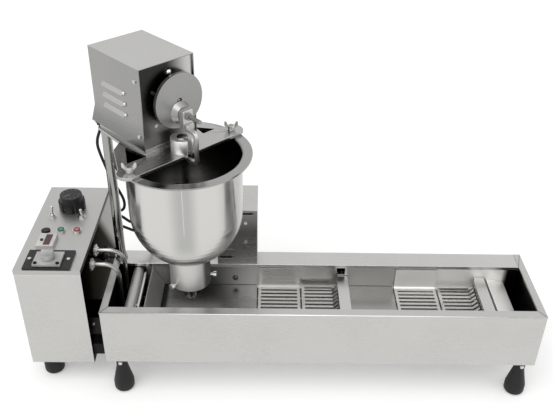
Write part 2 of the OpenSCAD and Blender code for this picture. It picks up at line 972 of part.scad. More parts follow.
module thermostat_bulb() {
    x = guard_x + guard_w + bulb_r + seat_gap;
    z = strip_z + guard_h - guard_w / 2;
    color(bright) at_machine() {
        rod_y([x, plate_y0 + bulb_end, z], bulb_r, plate_y1 - plate_y0 - 2 * bulb_end);
        translate([x, plate_y0 + bulb_end, z]) sphere(r = bulb_r);
        translate([x, plate_y0 + bulb_end, z]) cylinder(r = bulb_r / 2, h = bulb_tip);
        translate([x, plate_y1 - bulb_end, z]) sphere(r = bulb_r);
    }
}

// Feet

// A rubber foot: a rounded base that runs up into a narrow neck
module foot(height) {
    rotate_extrude() polygon(concat(
        [[0, 0], [foot_r - foot_round, 0]],
        arc([foot_r - foot_round, foot_round], foot_round, -90, 0, 5),
        [[foot_r, foot_base_h], [foot_shoulder_r, height * foot_shoulder_share],
         [foot_neck_r, height * foot_neck_share], [foot_neck_r, height], [0, height]]));
}

module at_tank_feet() {
    at_machine() for (x = [foot_left, tank_l - foot_right], y = [foot_r, tank_w - foot_r])
        translate([x, y, 0]) rotate([0, 0, y < channel_y ? 0 : 180]) children();
}

module tank_feet() {
    color(black) at_tank_feet() foot(tank_z);
}

module box_feet() {
    color(black) at_machine() for (y = box_foot_y)
        translate([box_x0 + box_foot_x, box_setback + y, 0]) rotate_extrude() polygon(concat(
            [[0, 0], [box_foot_r - foot_round, 0]],
            arc([box_foot_r - foot_round, foot_round], foot_round, -90, 0, 5),
            [[box_foot_r, foot_base_h], [box_foot_head_r, box_z], [0, box_z]]));
}

// Control box

module control_box() {
    color(steel) at_machine() difference() {
        block([box_x0, box_setback, box_z], [box_x1, box_y1, box_top - panel_lip]);
        block([box_x0 + sheet, box_setback + sheet, box_z + sheet],
            [box_x1 - sheet, box_y1 + overrun, box_top]);
        rod_x([box_x1 - sheet - overrun, leg_y1, leg_z1], heater_r + tube_hole, sheet + 2 * overrun);
        rod_x([box_x1 - sheet - overrun, leg_y2, leg_z2], heater_r + tube_hole, sheet + 2 * overrun);
    }
}

module control_panel() {
    color(steel) difference() {
        at_machine() difference() {
            block([box_x0, box_setback, box_top - panel_lip], [box_x1, box_y1, box_top]);
            block([box_x0 + sheet, box_setback + sheet, box_top - panel_lip - overrun],
                [box_x1 - sheet, box_y1 - sheet, panel_z]);
        }
        at_panel(knob_at) panel_hole(stem_r + seat_gap);
        for (at = toggle_at) at_panel(at) panel_hole(toggle_r + seat_gap);
        for (at = [start_at, stop_at, black_at]) at_panel(at) panel_hole(button_neck_r + seat_gap);
        at_panel(switch_at) panel_hole(switch_shaft_r + seat_gap);
    }
}

module panel_hole(r) {
    translate([0, 0, -sheet - overrun]) cylinder(r = r, h = sheet + 2 * overrun);
}

module box_back_cover() {
    color(steel) at_machine() block([box_x0 + sheet + seat_gap, box_y1 - sheet, box_z + sheet],
        [box_x1 - sheet - seat_gap, box_y1, box_top - panel_lip]);
}

module box_brackets() {
    color(black) at_machine() for (y = bracket_y)
        block([box_x1, y, bracket_z], [0, y + bracket_w, bracket_z + bracket_h]);
}

module contactor() {
    x = box_x0 + (box_l - contactor_w) / 2;
    y = box_setback + contactor_y;
    color(dark) at_machine()
        block([x, y, box_z + sheet], [x + contactor_w, y + contactor_d, box_z + sheet + contactor_h]);
}

module thermostat() {
    color(dark) at_panel(knob_at) {
        translate([0, 0, -sheet - stat_h]) cylinder(r = stat_r, h = stat_h);
        translate([0, 0, -sheet]) cylinder(r = stem_r, h = sheet + stem_h);
    }
}

module temperature_knob() {
    color(black) at_panel(knob_at) translate([0, 0, knob_lift]) difference() {
        union() {
            difference() {
                cylinder(r = knob_r, h = skirt_h);
                for (i = [0 : lobes - 1])
                    rotate([0, 0, 360 * (i + 0.5) / lobes])
                        translate([knob_r * lobe_at_share, 0, -overrun])
                            cylinder(r = lobe_r, h = skirt_h + 2 * overrun);
            }
            translate([0, 0, skirt_h]) cylinder(r1 = cap_foot_r, r2 = cap_r, h = knob_h - skirt_h);
        }
        translate([0, 0, -overrun])
            cylinder(r = stem_r + run_gap, h = stem_h + seat_gap + overrun - knob_lift);
    }
}

module toggle_body() {
    difference() {
        union() {
            cylinder(r = toggle_nut_r, h = toggle_nut_h, $fn = 6);
            translate([0, 0, -sheet - toggle_in]) cylinder(r = toggle_body_r, h = toggle_in);
            translate([0, 0, -sheet]) cylinder(r = toggle_r, h = sheet + toggle_h);
        }
        translate([0, 0, toggle_h - toggle_cup]) cylinder(r = toggle_cup_r, h = toggle_cup + overrun);
    }
}

module toggle_bodies() {
    color(bright) for (at = toggle_at) at_panel(at) toggle_body();
}

module toggle_lever(i) {
    pivot = toggle_h - toggle_cup + toggle_ball_r + seat_gap;
    at_panel(toggle_at[i]) translate([0, 0, pivot]) {
        sphere(r = toggle_ball_r);
        rotate([toggle_leans[i], 0, 0]) {
            cylinder(r1 = toggle_rod_r, r2 = toggle_tip_r, h = toggle_l);
            translate([0, 0, toggle_l]) sphere(r = toggle_tip_r);
        }
    }
}

module toggle_lever_left() {
    color(bright) toggle_lever(0);
}

module toggle_lever_right() {
    color(bright) toggle_lever(1);
}

// A button's fixed body: bezel on the panel, neck through it, and a well for the cap
module button_body(rim_h, rim_r) {
    difference() {
        union() {
            cylinder(r = rim_r, h = rim_h);
            translate([0, 0, -sheet - button_in]) cylinder(r = rim_r, h = button_in);
            translate([0, 0, -sheet]) cylinder(r = button_neck_r, h = sheet);
        }
        translate([0, 0, rim_h - button_well]) cylinder(r = button_r + run_gap, h = button_well + overrun);
    }
}

module button_bodies() {
    color(bright) for (at = [start_at, stop_at]) at_panel(at) button_body(bezel_h, bezel_r);
    color(dark) at_panel(black_at) button_body(low_bezel_h, bezel_r);
}

module button_cap(rim_h, proud) {
    floor_gap = button_travel + seat_gap;
    translate([0, 0, rim_h - button_well + floor_gap])
        cylinder(r = button_r, h = button_well - floor_gap + proud);
}

module start_button() {
    color([0.1, 0.45, 0.3]) at_panel(start_at) button_cap(bezel_h, button_h);
}

module stop_button() {
    color([0.7, 0.12, 0.16]) at_panel(stop_at) button_cap(bezel_h, button_h);
}

module black_button() {
    color(black) at_panel(black_at) button_cap(low_bezel_h, low_button_h);
}

module counter_housing() {
    color([0.82, 0.81, 0.79]) at_panel(counter_at) difference() {
        block([-counter_w / 2, -counter_d / 2, 0], [counter_w / 2, counter_d / 2, counter_h]);
        translate([counter_key_at[0], counter_key_at[1], counter_h - counter_well])
            cylinder(r = counter_key_r + run_gap, h = counter_well + overrun);
    }
}

module counter_button() {
    floor_gap = counter_key_h - pass_gap;
    color(black) at_panel(counter_at)
        translate([counter_key_at[0], counter_key_at[1], counter_h - counter_well + floor_gap])
            cylinder(r = counter_key_r, h = counter_well - floor_gap + counter_key_h);
}

module switch_plate() {
    color(black) at_panel(switch_at) {
        block([-switch_w / 2, switch_back - switch_d / 2, 0],
            [switch_w / 2, switch_back + switch_d / 2, switch_t]);
        translate([0, 0, -sheet - switch_in]) cylinder(r = face_d / 2, h = switch_in);
        translate([0, 0, -sheet]) cylinder(r = switch_shaft_r, h = sheet);
    }
}

module switch_face() {
    color(white) at_panel(switch_at) difference() {
        translate([0, 0, switch_t]) block([-face_w / 2, -face_d / 2, 0], [face_w / 2, face_d / 2, face_t]);
        translate([0, 0, switch_t + face_floor]) cylinder(r = switch_shaft_r + run_gap, h = face_t + overrun);
    }
}

module switch_handle() {
    base = switch_t + face_t;
    color(white) at_panel(switch_at) {
        translate([0, 0, switch_t + face_floor + seat_gap]) cylinder(r = switch_shaft_r, h = face_t);
        translate([0, 0, base + pass_gap]) cylinder(r = handle_r, h = handle_h);
        translate([0, 0, base + pass_gap + handle_h])
            block([grip_inset - handle_r, -grip_w / 2, 0], [handle_r - grip_inset, grip_w / 2, grip_h]);
    }
}

module cover_screws() {
    color(bright) {
        for (s = [-1, 1]) {
            at_panel(switch_at) translate([s * switch_screw_at, switch_back, switch_t]) screw();
            at_panel(switch_at)
                translate([s * face_w * face_screw_share, -face_d * face_screw_share, switch_t + face_t])
                    screw();
        }
        for (share = head_screw_shares)
            at_head() translate([head_x0, head_setback + head_screw_in, head_z + head_h * share])
                rotate([0, -90, 0]) screw();
        for (share = front_screw_shares)
            at_head() translate([head_x0 + front_screw_at, front_face, head_z + head_h * share])
                rotate([90, 0, 0]) screw();
        at_head() rod_y([port_x, front_face + front_t - plug_out, head_z + port_rise], plug_r, plug_out);
        at_machine() rod_y([pan_screw_x, pan_y1 - screw_h, strip_z + pan_screw_rise], screw_r, screw_h);
        for (share = housing_screw_shares)
            at_machine() translate([drive_x, housing_y0, rim_z + housing_h * share])
                rotate([90, 0, 0]) screw();
        for (x = [box_screw_in, box_l - box_screw_in], share = box_screw_shares)
            at_machine() translate([box_x0 + x, box_y1, box_z + box_h * share]) rotate([-90, 0, 0]) screw();
        at_machine() translate([box_x1, box_setback + side_screw_y, box_z + side_screw_z])
            rotate([0, 90, 0]) screw();
        foot_bolts();
    }
}

module foot_bolts() {
    at_tank_feet() translate([0, -foot_neck_r - foot_screw_l, tank_z - foot_screw_drop])
        rotate([-90, 0, 0]) cylinder(r = foot_screw_r, h = foot_screw_l);
}

// Post and head

module post() {
    color(bright) at_machine() translate([post_x, post_y, rim_z]) {
        cylinder(r = post_base_r, h = post_base_h);
        cylinder(r = post_r, h = hopper_z - rim_z);
    }
}

module head_plate() {
    stud = stud_r + seat_gap;
    color(steel) at_head() {
        translate([0, 0, hopper_z]) linear_extrude(plate_t) difference() {
            union() {
                square([2 * (ear_x - bar_w / 2), bar_w], center = true);
                for (s = [-1, 1]) translate([s * (ear_x - bar_w / 2), 0]) circle(r = bar_w / 2);
                polygon(concat(web_left, [[head_x0, head_y1], [head_x1, head_y1]], web_right));
            }
            polygon(hole_left);
            polygon(hole_right);
            circle(r = rod_r + rod_clear);
            translate([-strap_w / 2 - slot_gap, -bar_w]) square([strap_w + 2 * slot_gap, bar_w]);
            for (s = [-1, 1]) translate([s * stud_at, 0]) circle(r = stud);
        }
        block([head_x0 + pad_margin, head_setback + pad_margin, plate_z],
            [head_x1 - pad_margin, head_y1 - pad_margin, head_z]);
    }
}

module head_cover() {
    color(steel) at_head() difference() {
        union() {
            block([head_x0, head_setback, head_z], [head_x1, head_y1, head_z + head_h]);
            for (i = [0 : louvres - 1]) louvre_hood(i);
            along_x([[head_y1 - sheet / 2, head_z], [head_y1 + flare, head_z],
                [head_y1 - sheet / 2, head_z + flare_h]], head_x0, head_x1);
        }
        block([head_x0 + sheet, head_setback - overrun, head_z - overrun],
            [head_x1 - sheet, head_y1 - sheet, head_z + head_h - sheet]);
        for (i = [0 : louvres - 1]) louvre_mouth(i);
    }
}

// A louvre's hood on the casing's left side: a wedge that is open along its lower edge
module louvre_hood(i) {
    z = head_z + louvre_rise + i * louvre_gap;
    y = head_setback + louvre_start;
    along_y([[head_x0, z], [head_x0 - louvre_out, z], [head_x0, z + louvre_h]], y, y + louvre_l);
}

module louvre_mouth(i) {
    z = head_z + louvre_rise + i * louvre_gap;
    y = head_setback + louvre_start + sheet / 2;
    in = head_x0 + sheet + overrun;
    along_y([[in, z - overrun], [head_x0 - louvre_out + sheet, z - overrun],
        [head_x0 - louvre_out + sheet, z],
        [head_x0, z + louvre_h - sheet], [in, z + louvre_h - sheet]], y, y + louvre_l - sheet);
}

module head_front() {
    back = front_face + front_t;
    color(dark) at_head() difference() {
        block([head_x0 + sheet + seat_gap, front_face, head_z],
            [head_x1 - sheet - seat_gap, back, head_z + head_h - sheet]);
        rod_y([port_x, front_face - overrun, head_z + port_rise], port_r, front_t + 2 * overrun);
        rod_y([hub_x, front_face - overrun, hub_z], crank_shaft_r + wall_hole, front_t + 2 * overrun);
    }
}

module forming_motor() {
    y0 = front_face + front_t;
    y1 = y0 + forming_gear_d;
    z0 = hub_z - forming_gear_h / 2;
    color(dark) at_head() {
        difference() {
            block([-forming_gear_w / 2 - head_shift, y0, z0],
                [forming_gear_w / 2 - head_shift, y1, z0 + forming_gear_h]);
            rod_y([hub_x, y0 - overrun, hub_z], crank_shaft_r + run_gap, crank_shaft_in + seat_gap + overrun);
        }
        rod_y([-head_shift, y1, hub_z], forming_motor_r, forming_motor_l);
        block([-forming_gear_w / 4 - head_shift, y0, head_z], [forming_gear_w / 4 - head_shift, y1, z0]);
    }
}

module crank_disc() {
    shaft_end = front_face + front_t + crank_shaft_in;
    disc_front = disc_y - disc_t;
    nut_y = block_front - pass_gap - crank_nut_t;
    color(bright) at_head() {
        difference() {
            translate([hub_x, 0, hub_z]) {
                rod_y([0, disc_front, 0], disc_r, disc_t);
                rod_y([0, disc_y, 0], hub_boss_r, front_face - disc_y - pass_gap);
                rod_y([0, disc_y, 0], crank_shaft_r, shaft_end - disc_y);
            }
            rod_y([hub_x, disc_front - overrun, hub_z], hub_hole_r, hub_hole + overrun);
        }
        rod_y([hub_x, disc_front + hub_hole - hub_bolt_t, hub_z], hub_bolt_r, hub_bolt_t);
        translate([hub_x, 0, crank_z]) {
            translate([0, boss_y, 0]) rotate([-90, 0, 0])
                cylinder(r1 = pin_boss_tip_r, r2 = pin_boss_r, h = pin_boss_t);
            rod_y([0, boss_y - crank_pin_l, 0], crank_pin_r, crank_pin_l);
            translate([0, nut_y, 0]) rotate([-90, 0, 0]) cylinder(r = crank_nut_r, h = crank_nut_t, $fn = 6);
        }
    }
}

module crank_block() {
    color(bright) at_head() translate([hub_x, 0, crank_z]) difference() {
        block([-block_w / 2, block_front, pass_gap - block_drop],
            [block_w / 2, block_y, block_h - block_drop]);
        rod_y([0, block_front - overrun, 0], crank_pin_r + run_gap, block_t + 2 * overrun);
    }
}

// The strap: a tab before the crank block, an arm forward, a leg down and an arm back to the rod
module plunger_strap() {
    out = -strap_out;
    path = concat(
        [[tab_y - tab_t, strap_top]],
        arc([out + strap_bend, strap_top - strap_bend], strap_bend, 90, 180, 5),
        arc([out + strap_bend, strap_z - strap_t + strap_bend], strap_bend, 180, 270, 5),
        [[0, strap_z - strap_t]]);
    color(bright) at_head() {
        difference() {
            along_x(strip(path, strap_t), -strap_w / 2, strap_w / 2);
            translate([0, 0, strap_z - strap_t - overrun]) cylinder(r = rod_r, h = strap_t + 2 * overrun);
        }
        block([hub_x - tab_w / 2, tab_y - tab_t, strap_top - strap_t],
            [hub_x + tab_w / 2, tab_y, strap_top + tab_h]);
    }
}

module plunger() {
    tip_z = nozzle_z - die_h;
    top_z = plate_z + bush_h + rod_top;
    color(bright) at_hopper() {
        translate([0, 0, nozzle_z]) cylinder(r = rod_r, h = top_z - nozzle_z);
        translate([0, 0, nozzle_z + piston_rise]) cylinder(r = piston_r, h = piston_t);
        intersection() {
            union() {
                translate([0, 0, tip_z]) cylinder(r1 = die_tip_r, r2 = die_r, h = die_taper);
                translate([0, 0, tip_z + die_taper])
                    cylinder(r = die_r, h = die_h + nozzle_floor - die_taper);
            }
            union() {
                translate([0, 0, tip_z]) cylinder(r = die_core_r, h = die_h + nozzle_floor);
                for (i = [0 : 2]) rotate([0, 0, 60 * i])
                    translate([-die_r, -claw_w / 2, tip_z]) cube([2 * die_r, claw_w, die_h + nozzle_floor]);
            }
        }
    }
}

module guide_bush() {
    color(bright) at_head() translate([0, 0, plate_z]) difference() {
        cylinder(r = bush_r, h = bush_h);
        translate([0, 0, -overrun]) cylinder(r = rod_r + run_gap, h = bush_h + 2 * overrun);
        translate([-strap_w / 2 - slot_gap, -bush_r - overrun, -overrun])
            cube([strap_w + 2 * slot_gap, bush_r + overrun, bush_h + 2 * overrun]);
    }
}

module wing_nut(side) {
    at_head() translate([side * stud_at, 0, plate_z + seat_gap]) difference() {
        union() {
            cylinder(r = wing_hub_r, h = wing_hub_h);
            for (s = [-1, 1]) rotate([0, 0, wing_turn]) rotate([90, 0, 0]) translate([0, 0, -wing_w / 2])
                linear_extrude(wing_w) polygon([[s * wing_foot_x, wing_foot], [s * wing_l, wing_rise],
                    [s * wing_l, wing_rise + wing_h], [s * (wing_l - wing_w), wing_rise + wing_h],
                    [s * wing_foot_x, wing_hub_h - wing_foot]]);
        }
        translate([0, 0, -overrun]) cylinder(r = stud_r + run_gap, h = wing_hub_h + wing_h + 2 * overrun);
    }
}

module wing_nut_left() {
    color(bright) wing_nut(-1);
}

module wing_nut_right() {
    color(bright) wing_nut(1);
}

// Hopper

// Half outline of the hopper's shell, outside or inside
function hopper_side(r) = concat(
    [[r, hopper_z]],
    arc([r - bowl_r, outlet_z + bowl_h], bowl_r, 0, -acos(1 - bowl_in / bowl_r), 12));

module hopper() {
    outer = hopper_r + hopper_wall;
    color(bright) at_hopper() {
        rotate_extrude() difference() {
            union() {
                polygon(concat([[0, hopper_z]], hopper_side(outer), [[spigot_r, outlet_z], [0, outlet_z]]));
                translate([0, outlet_z - spigot_h]) square([spigot_r, spigot_h]);
                translate([0, hopper_z - flange_t]) square([outer + flange_w, flange_t]);
            }
            translate([0, hopper_wall]) polygon(concat([[0, hopper_z]], hopper_side(hopper_r),
                [[spigot_r - hopper_wall, outlet_z], [0, outlet_z]]));
            translate([0, outlet_z - spigot_h - overrun]) square([spigot_r - hopper_wall, spigot_h + bowl_h]);
            polygon(concat([[0, hopper_z + overrun], [0, hopper_z - mouth_round]],
                arc([hopper_r + mouth_round, hopper_z - mouth_round], mouth_round, 180, 90, 5),
                [[hopper_r + mouth_round, hopper_z + overrun]]));
        }
        rotate([0, 0, head_yaw]) for (s = [-1, 1])
            translate([s * stud_at, 0, hopper_z]) cylinder(r = stud_r, h = stud_h);
    }
}

module nozzle() {
    color(bright) at_hopper() difference() {
        translate([0, 0, nozzle_z]) cylinder(r = nozzle_r, h = nozzle_h);
        translate([0, 0, nozzle_z + nozzle_floor]) cylinder(r = spigot_r + run_gap, h = nozzle_h);
        translate([0, 0, nozzle_z - overrun]) cylinder(r = mouth_r, h = nozzle_h);
        for (i = [0, 1]) rotate([0, 0, thumb_angles[i]])
            rod_x([0, 0, nozzle_z + thumb_rises[i]], thumb_r + run_gap, nozzle_r + overrun);
    }
}

module thumb_screw(i) {
    at_hopper() rotate([0, 0, thumb_angles[i]]) translate([0, 0, nozzle_z + thumb_rises[i]]) {
        rod_x([spigot_r + seat_gap, 0, 0], thumb_r, nozzle_r - spigot_r - seat_gap + thumb_l);
        rod_x([nozzle_r + thumb_l - thumb_head_t, 0, 0], thumb_head_r, thumb_head_t);
    }
}

module thumb_screw_right() {
    color(bright) thumb_screw(0);
}

module thumb_screw_front() {
    color(bright) thumb_screw(1);
}

// Cables

// A gland that stands on a wall along +Z: a nut and a sleeve
module gland() {
    cylinder(r = gland_nut_r, h = gland_nut_t, $fn = 6);
    cylinder(r = gland_r, h = gland_l);
}

module cable_glands() {
    color(black) {
        for (at = box_entry) at_machine() translate(at - [gland_l, 0, 0]) rotate([0, 90, 0]) gland();
        at_machine() translate(housing_exit + [gland_l, 0, 0]) rotate([0, -90, 0]) gland();
        at_head() translate([head_gland_x, head_back, head_z]) rotate([180, 0, 0]) gland();
        at_machine() translate([box_x0 + mains_gland_x, box_y1, box_z + mains_gland_rise])
            rotate([-90, 0, 0]) gland();
    }
}

module head_cable() {
    color(black) at_machine() tube(head_route, cable_r);
}

module drive_cable() {
    color(black) at_machine() tube(drive_route, cable_r);
}

tank_casing();
oil_pan();
rear_ledge();
floor_plates();
fixed_grid_left();
fixed_grid_right();
flip_basket();
flip_shaft();
exit_basket();
exit_shaft();
exit_chute();
heater_element();
heater_nuts();
heater_guard();
thermostat_bulb();
drive_housing();
drive_motor();
drive_lever();
tie_rod();
tank_feet();
box_feet();
control_box();
control_panel();
box_back_cover();
box_brackets();
contactor();
thermostat();
temperature_knob();
toggle_bodies();
toggle_lever_left();
toggle_lever_right();
button_bodies();
start_button();
stop_button();
black_button();
counter_housing();
counter_button();
switch_plate();
switch_face();
switch_handle();
cover_screws();
post();
head_plate();
head_cover();
head_front();
forming_motor();
crank_disc();
crank_block();
plunger_strap();
plunger();
guide_bush();
wing_nut_left();
wing_nut_right();
hopper();
nozzle();
thumb_screw_right();
thumb_screw_front();
cable_glands();
head_cable();
drive_cable();
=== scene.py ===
import json
import math

import bmesh
import bpy
from mathutils import Matrix, Vector


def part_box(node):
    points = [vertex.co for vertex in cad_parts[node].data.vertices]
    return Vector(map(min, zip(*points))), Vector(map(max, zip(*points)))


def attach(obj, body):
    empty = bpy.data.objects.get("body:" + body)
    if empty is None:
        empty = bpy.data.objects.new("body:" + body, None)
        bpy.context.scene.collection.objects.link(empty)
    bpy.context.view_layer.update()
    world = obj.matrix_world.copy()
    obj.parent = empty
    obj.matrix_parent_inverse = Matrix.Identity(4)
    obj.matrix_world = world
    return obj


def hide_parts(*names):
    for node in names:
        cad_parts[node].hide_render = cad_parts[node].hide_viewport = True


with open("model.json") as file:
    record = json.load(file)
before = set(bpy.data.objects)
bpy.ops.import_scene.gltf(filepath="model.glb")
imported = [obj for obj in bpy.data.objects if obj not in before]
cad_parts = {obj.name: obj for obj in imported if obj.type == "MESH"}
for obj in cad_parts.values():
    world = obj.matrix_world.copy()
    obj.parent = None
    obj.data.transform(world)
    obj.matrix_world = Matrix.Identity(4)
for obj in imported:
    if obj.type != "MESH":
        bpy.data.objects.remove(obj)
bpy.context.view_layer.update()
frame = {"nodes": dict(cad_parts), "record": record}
NODES = frame["nodes"]
SCENE = bpy.context.scene
UP = Vector((0, 0, 1))

# The machine's own frame in millimetres: X from the tank's left end, Y from its front, Z from the floor
MM_PER_M = 1000
MID_X = 358.5
MID_Y = 154.25
HOPPER = (172.0, 90.5)
HEAD_YAW = math.radians(44)
TANK_L = 880
TANK_W = 206
RIM_Z = 222
PAN_X = (14, 866)
PAN_Y = (19, 162)

# The control panel's front left corner, then places from there and sizes, all in millimetres
PANEL = (-163, 31, 301)
BOX_D = 304
KNOB_SHARE = 0.7337
KNOB_AT = (66, BOX_D * KNOB_SHARE)
START_AT = (62.5, 132.9)
STOP_AT = (95.5, 132.9)
BLACK_TO_START_X = 48
COUNTER_H = 8.0
SWITCH_X = 64
SWITCH_FACE_W = 54
SWITCH_BACK = 60

# The camera, fitted to the photograph's straight edges
IMAGE_W = 553
FOCAL_PX = 743.7
SENSOR_W = 36
CAMERA_AT = (330, -1098, 1196)
CAMERA_YAW = math.radians(-0.678)
CAMERA_PITCH = math.radians(33.308)
CAMERA_ROLL = math.radians(1.050)


def at(x, y, z):
    """A place of the machine's own frame, in metres of the shared frame."""
    return Vector(((x - MID_X) / MM_PER_M, (y - MID_Y) / MM_PER_M, z / MM_PER_M))


def at_head(x, y, z):
    """A place of the forming head, which is turned about the hopper's axis."""
    c = math.cos(HEAD_YAW)
    s = math.sin(HEAD_YAW)
    return at(HOPPER[0] + x * c - y * s, HOPPER[1] + x * s + y * c, z)


def at_panel(x, y, z):
    """A place on the control panel, measured from its front left corner."""
    return at(x + PANEL[0], y + PANEL[1], z + PANEL[2])


def make_camera():
    right = Vector((math.cos(CAMERA_YAW), math.sin(CAMERA_YAW), 0))
    ahead = Vector((-math.sin(CAMERA_YAW), math.cos(CAMERA_YAW), 0))
    look = math.cos(CAMERA_PITCH) * ahead - math.sin(CAMERA_PITCH) * UP
    top = math.sin(CAMERA_PITCH) * ahead + math.cos(CAMERA_PITCH) * UP
    x = math.cos(CAMERA_ROLL) * right + math.sin(CAMERA_ROLL) * top
    y = -math.sin(CAMERA_ROLL) * right + math.cos(CAMERA_ROLL) * top
    data = bpy.data.cameras.new("camera")
    data.sensor_width = SENSOR_W
    data.lens = FOCAL_PX * SENSOR_W / IMAGE_W
    data.clip_end = 50
    camera = bpy.data.objects.new("camera", data)
    SCENE.collection.objects.link(camera)
    turn = Matrix((x, y, -look)).transposed().to_4x4()
    camera.matrix_world = Matrix.Translation(at(*CAMERA_AT)) @ turn
    SCENE.camera = camera


make_camera()


# Helpers for pieces

def dress(obj, material):
    obj.data.materials.clear()
    obj.data.materials.append(material)


def mesh_piece(name, bm):
    data = bpy.data.meshes.new(name)
    bm.normal_update()
    bm.to_mesh(data)
    bm.free()
    obj = bpy.data.objects.new(name, data)
    SCENE.collection.objects.link(obj)
    return obj


def detail(name, bm, body, slot, material):
    """A small piece of mesh that rides on a body."""
    bmesh.ops.recalc_face_normals(bm, faces=bm.faces)
    obj = mesh_piece(name, bm)
    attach(obj, body)
    dress(obj, material)


def prism(bm, outline, lift):
    """A closed flat piece: an outline, and the same outline lifted."""
    low = [bm.verts.new(p) for p in outline]
    high = [bm.verts.new(p + lift) for p in outline]
    bm.faces.new(low)
    bm.faces.new(high)
    for i in range(len(outline)):
        j = (i + 1) % len(outline)
        bm.faces.new((low[i], low[j], high[j], high[i]))


def skin(bm, rings):
    """A smooth closed skin over rings of points, with both ends filled."""
    sides = len(rings[0])
    for low, high in zip(rings, rings[1:]):
        for i in range(sides):
            j = (i + 1) % sides
            bm.faces.new((low[i], low[j], high[j], high[i]))
    bm.faces.new(rings[0])
    bm.faces.new(rings[-1])
    for face in bm.faces:
        face.smooth = True


# Cables, on the routes of their solids

CABLE_R = 0.003
HEAD_EXIT = at_head(-53, 191, 536)
HEAD_LEAD = at_head(-53, 191, 529)
HEAD_ROUTE = [
    (-1, 192, 521), (-5, 194, 511), (-9, 197, 499), (-11, 200, 484), (-9, 202, 467), (-5, 204, 447),
    (0, 205, 427), (5, 206, 408), (10, 206, 393), (17.5, 206, 379), (25.5, 206, 358), (27.5, 206, 342),
    (23.5, 207, 329), (14, 208, 323), (4, 210, 320), (-1, 212, 314.5), (1, 213.5, 309.5), (8, 214, 307.5),
    (17, 214.5, 305), (31, 216, 292), (48, 221, 280), (62, 226, 267), (71, 228, 250), (73, 227, 230),
    (68, 223, 211), (54, 218, 200), (32, 216, 197), (8, 215, 196), (-16, 215, 196), (-23, 215, 196)]
DRIVE_ROUTE = [
    (248, 230, 262), (241, 230, 262), (222, 229, 260), (190, 227, 252), (150, 222, 248), (110, 217, 250.5),
    (70, 214, 259.5), (45, 213, 267.5), (28, 213, 275), (14, 216, 279), (4, 222, 275), (-2, 229, 264),
    (-3, 234, 248), (-3, 238, 230), (-5, 240, 214), (-9, 240, 202), (-16, 240, 196), (-23, 240, 196)]


def smooth_path(points, steps=5):
    """Points of a smooth curve through all the given points."""
    out = []
    for i in range(len(points) - 1):
        a = points[max(i - 1, 0)]
        b = points[i]
        c = points[i + 1]
        d = points[min(i + 2, len(points) - 1)]
        for k in range(steps):
            t = k / steps
            out.append(0.5 * (2 * b + (c - a) * t + (2 * a - 5 * b + 4 * c - d) * t * t
                              + (3 * b - a - 3 * c + d) * t * t * t))
    out.append(points[-1])
    return out


def curve_piece(name, points, radius):
    data = bpy.data.curves.new(name, "CURVE")
    data.dimensions = "3D"
    data.bevel_depth = 1.0
    data.bevel_resolution = 4
    data.use_fill_caps = True
    line = data.splines.new("POLY")
    line.points.add(len(points) - 1)
    for spot, p in zip(line.points, points):
        spot.co = (p.x, p.y, p.z, 1)
        spot.radius = radius
    obj = bpy.data.objects.new(name, data)
    SCENE.collection.objects.link(obj)
    return obj


def make_cable(node, points):
    path = smooth_path(points)
    cable = curve_piece(node + "_sheath", path, CABLE_R)
    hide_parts(node)
    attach(cable, "machine")
    return cable


HEAD_CABLE = make_cable("head_cable", [HEAD_EXIT, HEAD_LEAD] + [at(*p) for p in HEAD_ROUTE])
DRIVE_CABLE = make_cable("drive_cable", [at(*p) for p in DRIVE_ROUTE])


# Materials

